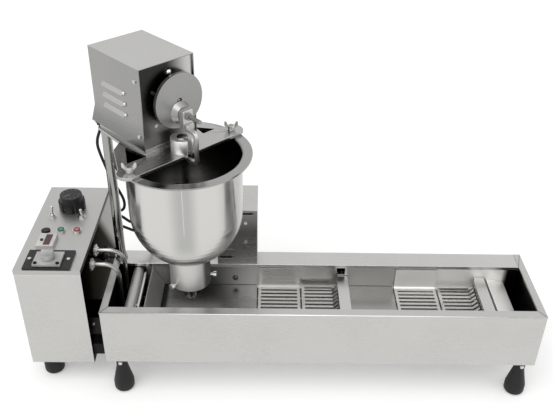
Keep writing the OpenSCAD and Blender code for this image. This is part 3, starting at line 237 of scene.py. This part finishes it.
class Graph:
    """A short way to write a material's nodes."""

    def __init__(self, name):
        self.material = bpy.data.materials.new(name)
        self.material.use_nodes = True
        self.nodes = self.material.node_tree.nodes
        self.links = self.material.node_tree.links
        self.shader = self.nodes["Principled BSDF"]

    def add(self, kind, **settings):
        node = self.nodes.new(kind)
        for key, value in settings.items():
            setattr(node, key, value)
        return node

    def link(self, a, b):
        self.links.new(a, b)

    def set(self, **values):
        for key, value in values.items():
            self.shader.inputs[key.replace("_", " ")].default_value = value

    def place(self):
        return self.add("ShaderNodeTexCoord").outputs["Object"]

    def facing(self):
        return self.add("ShaderNodeTexCoord").outputs["Normal"]

    def turned(self, vector, angle):
        node = self.add("ShaderNodeVectorRotate", rotation_type="Z_AXIS")
        node.inputs["Angle"].default_value = angle
        self.link(vector, node.inputs["Vector"])
        return node.outputs["Vector"]

    def part(self, vector, axis):
        node = self.add("ShaderNodeSeparateXYZ")
        self.link(vector, node.inputs["Vector"])
        return node.outputs[axis]

    def stretched(self, vector, scale):
        node = self.add("ShaderNodeMapping")
        node.inputs["Scale"].default_value = scale
        self.link(vector, node.inputs["Vector"])
        return node.outputs["Vector"]

    def minus(self, vector, point):
        node = self.add("ShaderNodeVectorMath", operation="SUBTRACT")
        self.link(vector, node.inputs[0])
        node.inputs[1].default_value = point
        return node.outputs["Vector"]

    def noise(self, scale, detail, stretch=(1, 1, 1), rough=0.5, vector=None):
        node = self.add("ShaderNodeTexNoise")
        node.inputs["Scale"].default_value = scale
        node.inputs["Detail"].default_value = detail
        node.inputs["Roughness"].default_value = rough
        self.link(self.stretched(vector or self.place(), stretch), node.inputs["Vector"])
        return node.outputs["Fac"]

    def spread(self, value, low, high, from_low=0.3, from_high=0.7):
        """A value from one range, by default the usual range of a noise, spread from low to high."""
        node = self.add("ShaderNodeMapRange")
        node.inputs["From Min"].default_value = from_low
        node.inputs["From Max"].default_value = from_high
        node.inputs["To Min"].default_value = low
        node.inputs["To Max"].default_value = high
        self.link(value, node.inputs["Value"])
        return node.outputs["Result"]

    def step(self, value, start, end):
        """0 before start and 1 after end, smooth between them."""
        node = self.add("ShaderNodeMapRange", interpolation_type="SMOOTHSTEP")
        node.inputs["From Min"].default_value = min(start, end)
        node.inputs["From Max"].default_value = max(start, end)
        node.inputs["To Min"].default_value = 0 if start < end else 1
        node.inputs["To Max"].default_value = 1 if start < end else 0
        self.link(value, node.inputs["Value"])
        return node.outputs["Result"]

    def lies(self, axis, start, end):
        """0 before start and 1 after end, in millimetres along an axis of the machine's own frame."""
        k = "XYZ".index(axis)
        return self.step(self.part(self.place(), axis), at(start, start, start)[k], at(end, end, end)[k])

    def faces(self, axis, start=0.5, end=0.8):
        """0 where the surface's direction along an axis is start, and 1 where it is end."""
        return self.step(self.part(self.facing(), axis), start, end)

    def maths(self, operation, a, b):
        node = self.add("ShaderNodeMath", operation=operation)
        self.link(a, node.inputs[0])
        self.link(b, node.inputs[1])
        return node.outputs[0]

    def sum(self, a, b):
        return self.maths("ADD", a, b)

    def most(self, a, b):
        return self.maths("MAXIMUM", a, b)

    def times(self, first, *others):
        for other in others:
            first = self.maths("MULTIPLY", first, other)
        return first

    def colours(self, value, first, second):
        node = self.add("ShaderNodeMix", data_type="RGBA")
        for socket, tone in (("A", first), ("B", second)):
            if isinstance(tone, tuple):
                node.inputs[socket].default_value = (*tone, 1)
            else:
                self.link(tone, node.inputs[socket])
        self.link(value, node.inputs["Factor"])
        return node.outputs["Result"]

    def blend(self, value, first, second):
        """From the first number to the second, each a socket or a plain number."""
        node = self.add("ShaderNodeMix", data_type="FLOAT")
        self.link(value, node.inputs["Factor"])
        for socket, number in (("A", first), ("B", second)):
            if isinstance(number, float):
                node.inputs[socket].default_value = number
            else:
                self.link(number, node.inputs[socket])
        return node.outputs["Result"]

    def distance(self, centre):
        """Level distance from an upright line through the centre."""
        node = self.add("ShaderNodeVectorMath", operation="DISTANCE")
        self.link(self.stretched(self.place(), (1, 1, 0)), node.inputs[0])
        node.inputs[1].default_value = (centre.x, centre.y, 0)
        return node.outputs["Value"]

    def bump(self, value, strength, distance=0.0002):
        node = self.add("ShaderNodeBump")
        node.inputs["Strength"].default_value = strength
        node.inputs["Distance"].default_value = distance
        self.link(value, node.inputs["Height"])
        self.link(node.outputs["Normal"], self.shader.inputs["Normal"])


def grey(level):
    """A faintly warm grey, as stainless steel shows it."""
    return (level, level * 0.992, level * 0.965)


def shaded(g, colour, shades):
    """The colour with places of painted shade and painted light laid over it."""
    for place, level in shades:
        colour = g.colours(place(g), colour, grey(level))
    return colour


def dulled(g, rough, gloss):
    """The roughness with duller or glossier places laid over it."""
    for place, value in gloss:
        rough = g.blend(place(g), rough, value)
    return rough


LINES_ALONG_X = (7, 190, 190)
LINES_ALONG_Y = (190, 7, 190)
SMUDGES = 0.05


def brushed(name, level, rough, yaw=0.0, shades=(), gloss=(), edges=()):
    """Brushed sheet steel: fine lines along each sheet, soft smudges, and places of painted shade and
    painted light in its tone and in the tint of its grazing reflections.
    """
    g = Graph(name)
    here = g.turned(g.place(), -yaw)
    face = g.turned(g.facing(), -yaw)
    along = g.noise(3.0, 4.0, stretch=LINES_ALONG_X, rough=0.6, vector=here)
    across = g.noise(3.0, 4.0, stretch=LINES_ALONG_Y, rough=0.6, vector=here)
    side = g.add("ShaderNodeMath", operation="ABSOLUTE")
    g.link(g.part(face, "X"), side.inputs[0])
    lines = g.blend(g.step(side.outputs[0], 0.6, 0.8), along, across)
    smudge = g.noise(7.0, 4.0)
    tone = g.sum(g.spread(lines, 0.0, 0.3), g.spread(smudge, 0.0, 0.7))
    colour = g.colours(tone, grey(level * (1 - SMUDGES)), grey(level * (1 + SMUDGES)))
    g.link(shaded(g, colour, shades), g.shader.inputs["Base Color"])
    matt = g.sum(g.spread(lines, rough - 0.03, rough + 0.03), g.spread(smudge, -0.03, 0.05))
    g.link(dulled(g, matt, gloss), g.shader.inputs["Roughness"])
    if edges:
        g.link(shaded(g, (1.0, 1.0, 1.0), edges), g.shader.inputs["Specular Tint"])
    g.bump(lines, 0.03)
    g.set(Metallic=1.0)
    return g.material


def polished(name, level, rough, shades=(), marks=(1, 1, 14), painted_reflection_bands=0.0, gloss=()):
    """Polished steel with faint turning marks, handling smudges, and upright bands of painted reflection.
    """
    g = Graph(name)
    lines = g.noise(60.0, 2.0, stretch=marks)
    smudge = g.noise(14.0, 4.0)
    tone = g.spread(smudge, 0.0, 1.0)
    if painted_reflection_bands:
        # Upright light and dark bands painted into the tone as reflections
        upright = g.noise(24.0, 2.0, stretch=(1, 1, 0.03))
        tone = g.sum(g.spread(smudge, 0.0, 1 - painted_reflection_bands), g.spread(upright, 0.0, painted_reflection_bands, 0.36, 0.64))
    colour = g.colours(tone, grey(level * (0.93 - 0.2 * painted_reflection_bands)), grey(level * (1.05 + 0.15 * painted_reflection_bands)))
    g.link(shaded(g, colour, shades), g.shader.inputs["Base Color"])
    matt = g.sum(g.spread(lines, rough - 0.03, rough + 0.03), g.spread(smudge, -0.02, 0.04))
    g.link(dulled(g, matt, gloss), g.shader.inputs["Roughness"])
    g.bump(lines, 0.02)
    g.set(Metallic=1.0)
    return g.material


def moulded(name, colour, rough, grain=900.0, specular=0.5, spot=None):
    """Moulded plastic or rubber: a fine grain, dust in the tone, and a lighter spot in the middle, painted
    as a highlight.
    """
    g = Graph(name)
    fine = g.noise(grain, 2.0)
    dust = g.noise(25.0, 4.0)
    dark = tuple(0.8 * c for c in colour)
    light = tuple(1.15 * c for c in colour)
    tone = g.colours(g.spread(dust, 0.0, 1.0), dark, light)
    if spot:
        # A lighter spot in the middle of the cap: a painted highlight
        centre, reach, highlight_tone = spot
        tone = g.colours(g.step(g.distance(centre), reach, reach * 0.55), tone, highlight_tone)
    g.link(tone, g.shader.inputs["Base Color"])
    g.link(g.spread(dust, rough - 0.06, rough + 0.08), g.shader.inputs["Roughness"])
    g.bump(fine, 0.15)
    g.set(Specular_IOR_Level=specular)
    return g.material


# Places where painted shade, painted light and painted reflections are laid into a surface's colour: shade
# in deep corners and what the steel would mirror

def box_side(g):
    """Where a sheet faces the tank, to the right; the box's and panel's sides get painted shade there."""
    return g.faces("X")


def box_side_back(g):
    """The upper back corner of the box's side, with a painted reflection of the bright floor behind the
    tank.
    """
    slope = 0.75
    corner = at(0, 200, 300)
    edge = corner.y + slope * corner.z
    slant = g.add("ShaderNodeVectorMath", operation="DOT_PRODUCT")
    g.link(g.place(), slant.inputs[0])
    slant.inputs[1].default_value = (0, 1, slope)
    return g.times(box_side(g), g.step(slant.outputs["Value"], edge - 0.012, edge + 0.034))


# The foot of the box's side, where the tint of its grazing reflection is painted lighter.
def box_side_foot(g):
    return g.times(box_side(g), g.lies("Z", 155, 105))


# Where a sheet faces left: the tank's left end gets painted shade, the box's left side painted light.
def left_side(g):
    return g.faces("X", -0.5, -0.8)


def front_side(g):
    """Where a sheet faces the front."""
    return g.faces("Y", -0.5, -0.8)


def in_the_bath(g):
    """Below the rim."""
    return g.lies("Z", RIM_Z - 3.5, RIM_Z - 5.5)


def pan_ends(g):
    """The bath's two ends, painted almost black as shade."""
    left, right = PAN_X
    ends = g.most(g.lies("X", left + 56, left + 42), g.lies("X", right - 34, right - 20))
    return g.times(in_the_bath(g), ends)


def under_hopper(g):
    """The bath near the die, with a painted dark reflection of the hopper."""
    return g.times(in_the_bath(g), g.lies("X", 318, 190))


def bright_walls(g):
    """The bath's back wall by the ramp and at the exit end, painted lighter as light."""
    by_ramp = g.times(g.lies("X", 66, 72), g.lies("X", 124, 112))
    half = g.spread(by_ramp, 0.0, 0.5, 0.0, 1.0)
    lit = g.most(half, g.lies("X", 596, 618))
    return g.times(front_side(g), g.lies("Z", RIM_Z - 2.5, RIM_Z - 4.5), lit)


# The rim's top, painted a little darker as shade.
def rim_top(g):
    return g.times(g.faces("Z"), g.lies("Z", RIM_Z - 2.5, RIM_Z - 1.5))


def ramp(g):
    """The upturned end of the left floor plate, painted lighter as light."""
    return g.lies("X", 108, 105)


def ramp_foot(g):
    """A painted shadow in the joint at the ramp's foot."""
    return g.times(g.lies("X", 105, 107), g.lies("X", 122, 113))


def grid_back(g):
    """The upturned back of a grid, painted lighter as light."""
    return g.times(front_side(g), g.lies("Y", 130, 140))


# The grids' sloped bend, painted darker as shade.
def grid_bend(g):
    return g.times(g.faces("Y", -0.25, -0.5), g.faces("Z", 0.25, 0.5))


# The drive housing's lower front, painted lighter as light.
def housing_low(g):
    return g.times(front_side(g), g.lies("Z", 310, 270))


# The top of the drive housing's step, painted almost black as shade.
def housing_step(g):
    return g.times(g.faces("Z"), g.lies("Z", 275, 265))


# The head's upright sides, painted darker than its top as shade.
def upright_sides(g):
    return g.faces("Z", 0.45, 0.30)


# The lower part of the head's sides, painted darker still as shade.
def head_low(g):
    return g.times(upright_sides(g), g.lies("Z", 605, 550))


def from_hopper(g):
    """Place, measured from the hopper's axis in metres."""
    return g.minus(g.place(), tuple(at(HOPPER[0], HOPPER[1], 0)))


def head_x(g):
    """Place across the head, measured from the hopper's axis in metres."""
    return g.part(g.turned(from_hopper(g), -HEAD_YAW), "X")


# The left part of the head's front plate, painted almost black as a dark reflection.
def front_plate_left(g):
    return g.step(head_x(g), 0.052, -0.005)


# The lower part of the front plate, painted mid grey as a reflection.
def front_plate_low(g):
    return g.times(g.lies("Z", 622, 578), g.step(head_x(g), 0.02, -0.04))


def hopper_inside(g):
    """Where the hopper's wall faces its own axis: its inside, painted darker as shade."""
    dot = g.add("ShaderNodeVectorMath", operation="DOT_PRODUCT")
    g.link(g.stretched(from_hopper(g), (1, 1, 0)), dot.inputs[0])
    g.link(g.facing(), dot.inputs[1])
    return g.step(dot.outputs["Value"], -0.004, -0.03)


# The hopper's rim, painted darker as shade.
def hopper_rim(g):
    return g.lies("Z", 526.5, 528.5)


def hopper_bowl(g):
    return g.lies("Z", 430, 380)


def hopper_front(g):
    """The upright part of the hopper's front, painted lighter as light."""
    mid = HOPPER[0]
    return g.times(g.lies("X", mid - 88, mid - 62), g.lies("X", mid + 88, mid + 62))


def hopper_middle(g):
    """A stripe of painted shade down the weld on the hopper's front."""
    mid = HOPPER[0] + 8
    stripe = g.times(g.lies("X", mid - 34, mid - 4), g.lies("X", mid + 30, mid + 6))
    return g.times(stripe, g.lies("Y", 60, 20), g.lies("Z", 345, 400))


def hopper_left(g):
    """A stripe of painted dark reflection at the hopper's left, under its rim."""
    mid = HOPPER[0]
    stripe = g.times(g.lies("X", mid - 100, mid - 92), g.lies("X", mid - 78, mid - 86))
    return g.times(stripe, g.lies("Z", 435, 475))


# The nozzle's right side, painted darker as shade.
def nozzle_right(g):
    return g.lies("X", HOPPER[0] + 26, HOPPER[0] + 34)


def switch_corners(g):
    """The fasteners of the switch's face, which are dark."""
    left = PANEL[0] + SWITCH_X - SWITCH_FACE_W / 2
    right = PANEL[0] + SWITCH_X + SWITCH_FACE_W / 2
    back = PANEL[1] + SWITCH_BACK
    across = g.times(g.lies("X", left - 2, left), g.lies("X", right + 2, right))
    return g.times(across, g.lies("Y", back, back - 5), g.lies("Z", 290, 295))


def black_bezel(g):
    """The bezel of the black button, left of the start button's."""
    between = PANEL[0] + BLACK_TO_START_X
    return g.lies("X", between + 2, between - 2)


# Each steel's tone and roughness, then its places with another roughness, and with painted shade, painted
# light or painted reflections in its tone or in the tint of its grazing reflections
SHEET = brushed("sheet_steel", 0.54, 0.27)
# The tank's left end is painted dark as shade.
TANK = brushed("tank_steel", 0.54, 0.27, shades=[(left_side, 0.16)])
# The panel's right side is painted dark as shade, in its tone and in its grazing reflection.
PANEL_STEEL = brushed("panel_steel", 0.47, 0.40, shades=[(box_side, 0.10)], edges=[(box_side, 0.55)])
# The box's right side is painted almost black as shade, its upper back corner lighter as a reflection of
# the floor and its left side lighter as light, in tone and in the tint of grazing reflections.
BOX = brushed("box_steel", 0.54, 0.27,
              shades=[(box_side, 0.02), (box_side_back, 0.13), (left_side, 0.75)],
              gloss=[(box_side, 0.11), (left_side, 0.50)],
              edges=[(box_side, 0.308), (box_side_foot, 0.38), (box_side_back, 0.86)])
# The bath is painted dark near the die as the hopper's reflection, lighter on the back wall by the ramp and
# at the exit as light, and darker on the rim's top and almost black at its ends as shade.
PAN_STEEL = brushed("pan_steel", 0.56, 0.34, gloss=[(bright_walls, 0.62)],
                    shades=[(under_hopper, 0.20), (bright_walls, 0.95), (rim_top, 0.50), (pan_ends, 0.004)])
# The floor plates are painted dark near the die as the hopper's reflection, lighter on the ramp as light,
# and with a painted shadow at the ramp's foot.
PLATE = brushed("bath_plate_steel", 0.35, 0.26, gloss=[(ramp, 0.6)],
                shades=[(under_hopper, 0.16), (ramp, 0.42), (ramp_foot, 0.012)])
# The grids' bends are painted darker as shade.
GRID = brushed("grid_steel", 0.54, 0.30, shades=[(grid_bend, 0.26)])
# A copy of the grid steel whose upturned back is painted lighter as light.
END_GRID = brushed("end_grid_steel", 0.54, 0.30, gloss=[(grid_back, 0.62)],
                   shades=[(grid_bend, 0.26), (grid_back, 0.85)])
# The chute's steel is painted lighter than the sheet steel, as light.
CHUTE = brushed("chute_steel", 0.80, 0.48)
GUARD = brushed("guard_steel", 0.50, 0.48)
# The housing's front is painted dark as shade, its lower front lighter as light and its step's top almost
# black as shade.
HOUSING = brushed("housing_steel", 0.50, 0.26,
                  shades=[(front_side, 0.18), (housing_low, 0.42), (housing_step, 0.05)])
# The head's sides are painted darker than its top as shade, and darker still low down.
HEAD = brushed("head_steel", 0.47, 0.27, yaw=HEAD_YAW, shades=[(upright_sides, 0.315), (head_low, 0.21)])
# The front plate's left part is painted almost black and its lower part mid grey, as painted reflections.
FRONT = brushed("front_plate_steel", 0.55, 0.28, yaw=HEAD_YAW,
                shades=[(front_plate_left, 0.032), (front_plate_low, 0.22)])
BAR = brushed("bar_steel", 0.42, 0.24, yaw=HEAD_YAW)
SEAM = brushed("seam_shadow", 0.10, 0.40)
# A brighter steel for the rim's bend, as a painted highlight.
RIM_HIGHLIGHT = brushed("rim_highlight_steel", 0.80, 0.35)
# The hopper's front is painted lighter as light, with painted shade down its middle, on its rim and inside,
# a painted dark reflection at its left, and upright bands of painted reflection.
HOPPER_STEEL = polished("hopper_steel", 0.46, 0.15, marks=(1, 1, 22), painted_reflection_bands=0.6,
                        gloss=[(hopper_bowl, 0.26)],
                        shades=[(hopper_front, 0.60), (hopper_middle, 0.43), (hopper_left, 0.31),
                                (hopper_rim, 0.34), (hopper_inside, 0.27)])
# The nozzle's right side is painted dark as shade.
NOZZLE_STEEL = polished("nozzle_steel", 0.62, 0.50, shades=[(nozzle_right, 0.12)])
DISC = polished("disc_steel", 0.34, 0.34, marks=(9, 9, 9))
SATIN = polished("satin_steel", 0.62, 0.38)
# The bush steel is painted near white, lighter than the satin steel, as light.
BUSH = polished("bush_steel", 0.92, 0.45)
FASTENER = polished("fastener_steel", 0.62, 0.36, shades=[(switch_corners, 0.01)])
BEZEL = polished("bezel_steel", 0.62, 0.18, shades=[(black_bezel, 0.012)])
TUBE = polished("heater_tube", 0.44, 0.28)
POLISHED = polished("polished_steel", 0.58, 0.15)
POST = polished("post_steel", 0.35, 0.14)

# Each plastic, rubber or paint with its colour and roughness
# The reach of the painted highlight spot on the green and red caps
HIGHLIGHT_SPOT_REACH = 0.0052
RUBBER = moulded("black_rubber", (0.012, 0.012, 0.013), 0.52, specular=0.3)
PLASTIC = moulded("black_plastic", (0.011, 0.011, 0.012), 0.36, specular=0.3)
PAINT = moulded("black_paint", (0.004, 0.004, 0.005), 0.34, 300.0, specular=0.14)
WHITE = moulded("white_plastic", (0.46, 0.46, 0.447), 0.35)
# The green and red caps each get a lighter spot in the middle, a painted highlight
GREEN = moulded("green_plastic", (0.012, 0.105, 0.060), 0.28,
                spot=(at_panel(*START_AT, 0), HIGHLIGHT_SPOT_REACH, (0.10, 0.24, 0.17)))
RED = moulded("red_plastic", (0.26, 0.030, 0.046), 0.28,
              spot=(at_panel(*STOP_AT, 0), HIGHLIGHT_SPOT_REACH, (0.42, 0.18, 0.19)))
GREY = moulded("grey_plastic", (0.60, 0.59, 0.565), 0.45)
MOTOR = moulded("motor_paint", (0.065, 0.070, 0.075), 0.40, 400.0)
CABLE = moulded("cable_sheath", (0.012, 0.012, 0.013), 0.45, 600.0, specular=0.3)
GLASS = moulded("red_window", (0.060, 0.010, 0.012), 0.12, 300.0)
MARK = moulded("white_print", (0.16, 0.16, 0.158), 0.5)

BY_SLOT = {
    "brushed_steel": SHEET, "polished_steel": POLISHED, "dark_steel": FRONT, "black_rubber": RUBBER,
    "black_paint": PAINT, "black_plastic": PLASTIC, "white_plastic": WHITE, "green_plastic": GREEN,
    "red_plastic": RED, "grey_plastic": GREY, "motor_grey": MOTOR, "cable_black": CABLE}
BY_NODE = {
    "tank_casing": TANK, "oil_pan": PAN_STEEL, "floor_plates": PLATE, "fixed_grid_left": GRID,
    "fixed_grid_right": END_GRID, "flip_basket": GRID, "exit_basket": GRID, "exit_chute": CHUTE,
    "heater_guard": GUARD, "heater_element": TUBE, "heater_nuts": SATIN, "control_box": BOX,
    "control_panel": PANEL_STEEL, "drive_housing": HOUSING, "head_cover": HEAD, "head_front": FRONT,
    "head_plate": BAR, "hopper": HOPPER_STEEL, "nozzle": NOZZLE_STEEL, "crank_disc": DISC,
    "crank_block": SATIN, "plunger_strap": SATIN, "guide_bush": BUSH, "wing_nut_left": SATIN,
    "wing_nut_right": SATIN, "cover_screws": FASTENER, "button_bodies": BEZEL, "post": POST}

for part in frame["record"]["subparts"]:
    name = part["node"]
    dress(NODES[name], BY_NODE.get(name, BY_SLOT[part["material_slot"]]))
for cable in (HEAD_CABLE, DRIVE_CABLE):
    dress(cable, CABLE)


# Edges: sheet and moulded edges are broken, so that they catch the light

EDGE_ANGLE = math.radians(40)
WELD_REACH = 0.00002
EDGE_WIDTHS = {
    0.0016: ("control_box", "tank_casing"),
    0.0015: ("tank_feet", "box_feet"),
    0.0014: ("counter_housing",),
    0.0012: ("switch_face", "switch_handle", "temperature_knob", "crank_block", "plunger_strap"),
    0.0010: ("wing_nut_left", "wing_nut_right", "start_button", "stop_button", "black_button"),
    0.0009: ("head_cover", "rear_ledge", "drive_housing"),
    0.0008: ("switch_plate", "head_plate", "guide_bush"),
    0.0006: ("exit_chute",)}


def soften(name, width):
    obj = NODES[name]
    weld = obj.modifiers.new("weld", "WELD")
    weld.merge_threshold = WELD_REACH
    bevel = obj.modifiers.new("edges", "BEVEL")
    bevel.width = width
    bevel.segments = 2
    bevel.limit_method = "ANGLE"
    bevel.angle_limit = EDGE_ANGLE
    bevel.harden_normals = True


for width, names in EDGE_WIDTHS.items():
    for name in names:
        soften(name, width)


# Small pieces that the solids leave out: places in millimetres, sizes of the pieces in metres

def turned_piece(bm, foot, axis, profile, sides=16):
    """A small turned piece: (out, along) points of its outline, turned about an axis through its foot."""
    axis = axis.normalized()
    a = axis.orthogonal().normalized()
    b = axis.cross(a)
    rings = []
    for out, along in profile:
        ring = []
        for i in range(sides):
            angle = 2 * math.pi * i / sides
            spoke = a * math.cos(angle) + b * math.sin(angle)
            ring.append(bm.verts.new(foot + spoke * out + axis * along))
        rings.append(ring)
    skin(bm, rings)


def dome(radius, height):
    """The outline of a dome, cut just short of its tip."""
    return [(radius * math.cos(t), height * math.sin(t)) for t in (0.0, 0.35, 0.7, 1.05, 1.4)]


def louvre_ends():
    """The rounded front end of each louvre's hood, in a lighter steel than the head's sides as a painted
    highlight.
    """
    count = 3
    lowest = (-63.3, 77.5, 600)
    pitch = 21
    radius = 0.0042
    bm = bmesh.new()
    left = Vector((-math.cos(HEAD_YAW), -math.sin(HEAD_YAW), 0))
    for i in range(count):
        foot = at_head(lowest[0], lowest[1], lowest[2] + pitch * i)
        turned_piece(bm, foot, left, dome(radius, radius))
    detail("louvre_ends", bm, "machine", "brushed_steel", SATIN)


def wall_fitting():
    """The sensor's union on the bath's back wall."""
    foot = at(259, 161.9, 184)
    flange = 0.0062
    stem = 0.0036
    tip = 0.0026
    bm = bmesh.new()
    profile = [(flange, 0.0), (flange, 0.0012), (stem, 0.0014), (stem, 0.0036), (tip, 0.0042)]
    turned_piece(bm, foot, Vector((0, -1, 0)), profile)
    detail("wall_fitting", bm, "machine", "polished_steel", SEAM)


def port_plug():
    """The plug in the front plate's port, in near white steel as a painted highlight."""
    foot = at_head(-1, 26.8, 681)
    radius = 0.0048
    height = 0.0036
    bm = bmesh.new()
    ahead = Vector((math.sin(HEAD_YAW), -math.cos(HEAD_YAW), 0))
    turned_piece(bm, foot, ahead, dome(radius, height))
    detail("port_plug", bm, "machine", "polished_steel", BUSH)


def rim_bend():
    """The rounded bend along the rim's front edge, in a brighter steel as a painted highlight."""
    radius = 0.0013
    inset = 0.8
    sides = 8
    bm = bmesh.new()
    rings = []
    for x in (1, TANK_L - 1):
        ring = []
        for i in range(sides):
            angle = 2 * math.pi * i / sides
            spoke = Vector((0, math.cos(angle), math.sin(angle)))
            ring.append(bm.verts.new(at(x, inset, RIM_Z - inset) + spoke * radius))
        rings.append(ring)
    for i in range(sides):
        j = (i + 1) % sides
        bm.faces.new((rings[0][i], rings[0][j], rings[1][j], rings[1][i])).smooth = True
    bm.faces.new(rings[0])
    bm.faces.new(rings[1])
    detail("rim_bend", bm, "machine", "brushed_steel", RIM_HIGHLIGHT)


def counter_window():
    """The red window on the counter's top."""
    left = 40.5
    right = 53.5
    front = 73.5
    back = 109
    thickness = 0.0006
    edge = 0.0004
    bm = bmesh.new()
    corners = [(left, front), (right, front), (right, back), (left, back)]
    prism(bm, [at_panel(x, y, COUNTER_H) for x, y in corners], thickness * UP)
    bmesh.ops.bevel(bm, geom=bm.edges[:], offset=edge, segments=2, affect="EDGES")
    detail("counter_window", bm, "machine", "red_plastic", GLASS)


def knob_marks():
    """A ring of marks on the knob's top, with a long one as its pointer."""
    count = 11
    first = 69
    pitch = 30
    pointer = 5
    thickness = 0.0003
    # Inner end, outer end and half width
    mark_sizes = (0.0165, 0.0195, 0.0006)
    pointer_sizes = (0.002, 0.0185, 0.0010)
    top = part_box("temperature_knob")[1][2]
    centre = at_panel(*KNOB_AT, 0)
    base = Vector((centre.x, centre.y, top))
    bm = bmesh.new()
    for i in range(count):
        angle = math.radians(first + i * pitch)
        out = Vector((math.cos(angle), math.sin(angle), 0))
        side = Vector((-out.y, out.x, 0))
        inner, outer, half = pointer_sizes if i == pointer else mark_sizes
        prism(bm, [base + out * inner - side * half, base + out * outer - side * half,
                   base + out * outer + side * half, base + out * inner + side * half], thickness * UP)
    detail("knob_marks", bm, "knob", "white_plastic", MARK)


def hopper_seam():
    """The weld down the hopper's front, which fades out towards the bowl."""
    radius = 0.1083
    half = 0.0012
    height = 0.0007
    bottom = 416
    top = 526
    pitch = 4
    fade_l = 20
    bm = bmesh.new()
    angle = math.radians(273.9)
    out = Vector((math.cos(angle), math.sin(angle), 0))
    side = Vector((-out.y, out.x, 0))
    rings = []
    for z in range(bottom, top, pitch):
        fade = min(1.0, (z - bottom + pitch) / fade_l)
        base = at(HOPPER[0], HOPPER[1], z) + out * radius
        ring = []
        for i in range(5):
            a = math.pi * i / 4
            bead = side * half * math.cos(a) + out * height * math.sin(a)
            ring.append(bm.verts.new(base + fade * bead))
        rings.append(ring)
    skin(bm, rings)
    detail("hopper_seam", bm, "machine", "polished_steel", SATIN)


def mitre_seams():
    """The seams across the corners of the tank's rim."""
    half = 0.0005
    thickness = 0.0002
    inset = 1
    bm = bmesh.new()
    for pan_y, tank_y in ((PAN_Y[0], inset), (PAN_Y[1], TANK_W - inset)):
        for pan_x, tank_x in ((PAN_X[1], TANK_L - inset), (PAN_X[0], inset)):
            a = at(pan_x, pan_y, RIM_Z)
            b = at(tank_x, tank_y, RIM_Z)
            side = (b - a).normalized().cross(UP) * half
            prism(bm, [a - side, b - side, b + side, a + side], thickness * UP)
    detail("mitre_seams", bm, "machine", "brushed_steel", SEAM)


louvre_ends()
wall_fitting()
port_plug()
rim_bend()
counter_window()
knob_marks()
hopper_seam()
mitre_seams()


# Stage

FLOOR_HALF = 12
FLOOR_LIFT = 0.22
WORLD_LIGHT = 0.55
WORLD_SEEN = 1.0
CARD_TONE = 0.03
CARD_Z = 1


def plane(name, corners, material):
    bm = bmesh.new()
    bm.faces.new([bm.verts.new(c) for c in corners])
    obj = mesh_piece(name, bm)
    dress(obj, material)
    return obj


def seen_rays(nodes, links):
    """1 for what the camera, a reflection or clear material shows."""
    ray = nodes.new("ShaderNodeLightPath")
    last = ray.outputs["Is Camera Ray"]
    for name in ("Is Glossy Ray", "Is Transmission Ray"):
        both = nodes.new("ShaderNodeMath")
        both.operation = "MAXIMUM"
        links.new(last, both.inputs[0])
        links.new(ray.outputs[name], both.inputs[1])
        last = both.outputs[0]
    return last


def floor_material():
    g = Graph("pale_floor")
    tone = g.noise(3.0, 2.0)
    g.link(g.colours(tone, (0.86, 0.86, 0.855), (0.88, 0.88, 0.875)), g.shader.inputs["Base Color"])
    g.set(Roughness=0.9, Specular_IOR_Level=0.1, Emission_Color=(1, 1, 1, 1))
    lift = g.spread(seen_rays(g.nodes, g.links), 0.0, FLOOR_LIFT, 0.0, 1.0)
    g.link(lift, g.shader.inputs["Emission Strength"])
    return g.material


def card_material():
    g = Graph("dark_card")
    tone = g.noise(2.0, 2.0)
    g.link(g.colours(tone, grey(CARD_TONE * 0.9), grey(CARD_TONE * 1.1)), g.shader.inputs["Base Color"])
    g.set(Roughness=0.9, Specular_IOR_Level=0.0)
    return g.material


def card(name, x0, y0, x1, y1):
    """A dark card beside the machine, which only reflections show, as in a photographer's studio."""
    corners = [(x0, y0), (x1, y0), (x1, y1), (x0, y1)]
    obj = plane(name, [at(x, y, CARD_Z) for x, y in corners], card_material())
    obj.visible_camera = False
    obj.visible_diffuse = False
    obj.visible_shadow = False


def make_world():
    world = bpy.data.worlds.new("studio")
    world.use_nodes = True
    SCENE.world = world
    nodes = world.node_tree.nodes
    links = world.node_tree.links
    back = nodes["Background"]
    back.inputs["Color"].default_value = (1, 1, 1, 1)
    level = nodes.new("ShaderNodeMapRange")
    level.inputs["To Min"].default_value = WORLD_LIGHT
    level.inputs["To Max"].default_value = WORLD_SEEN
    links.new(seen_rays(nodes, links), level.inputs["Value"])
    links.new(level.outputs["Result"], back.inputs["Strength"])


def sun(name, place, power, spread):
    """A soft lamp that shines from a place towards the machine, with its spread in degrees."""
    data = bpy.data.lights.new(name, "SUN")
    data.energy = power
    data.angle = math.radians(spread)
    lamp = bpy.data.objects.new(name, data)
    SCENE.collection.objects.link(lamp)
    lamp.rotation_euler = (-Vector(place)).to_track_quat("-Z", "Y").to_euler()


FLOOR = [(-FLOOR_HALF, -FLOOR_HALF, 0), (FLOOR_HALF, -FLOOR_HALF, 0),
         (FLOOR_HALF, FLOOR_HALF, 0), (-FLOOR_HALF, FLOOR_HALF, 0)]
plane("floor", FLOOR, floor_material())
card("card_left", -760, 220, -200, 860)
card("card_right", 700, 120, 1040, 400)
make_world()
sun("key", (-0.8, -1.2, 2.4), 1.3, 50)
sun("fill", (1.6, -0.9, 1.8), 0.4, 60)

SCENE.view_settings.view_transform = "Standard"

bpy.context.view_layer.update()
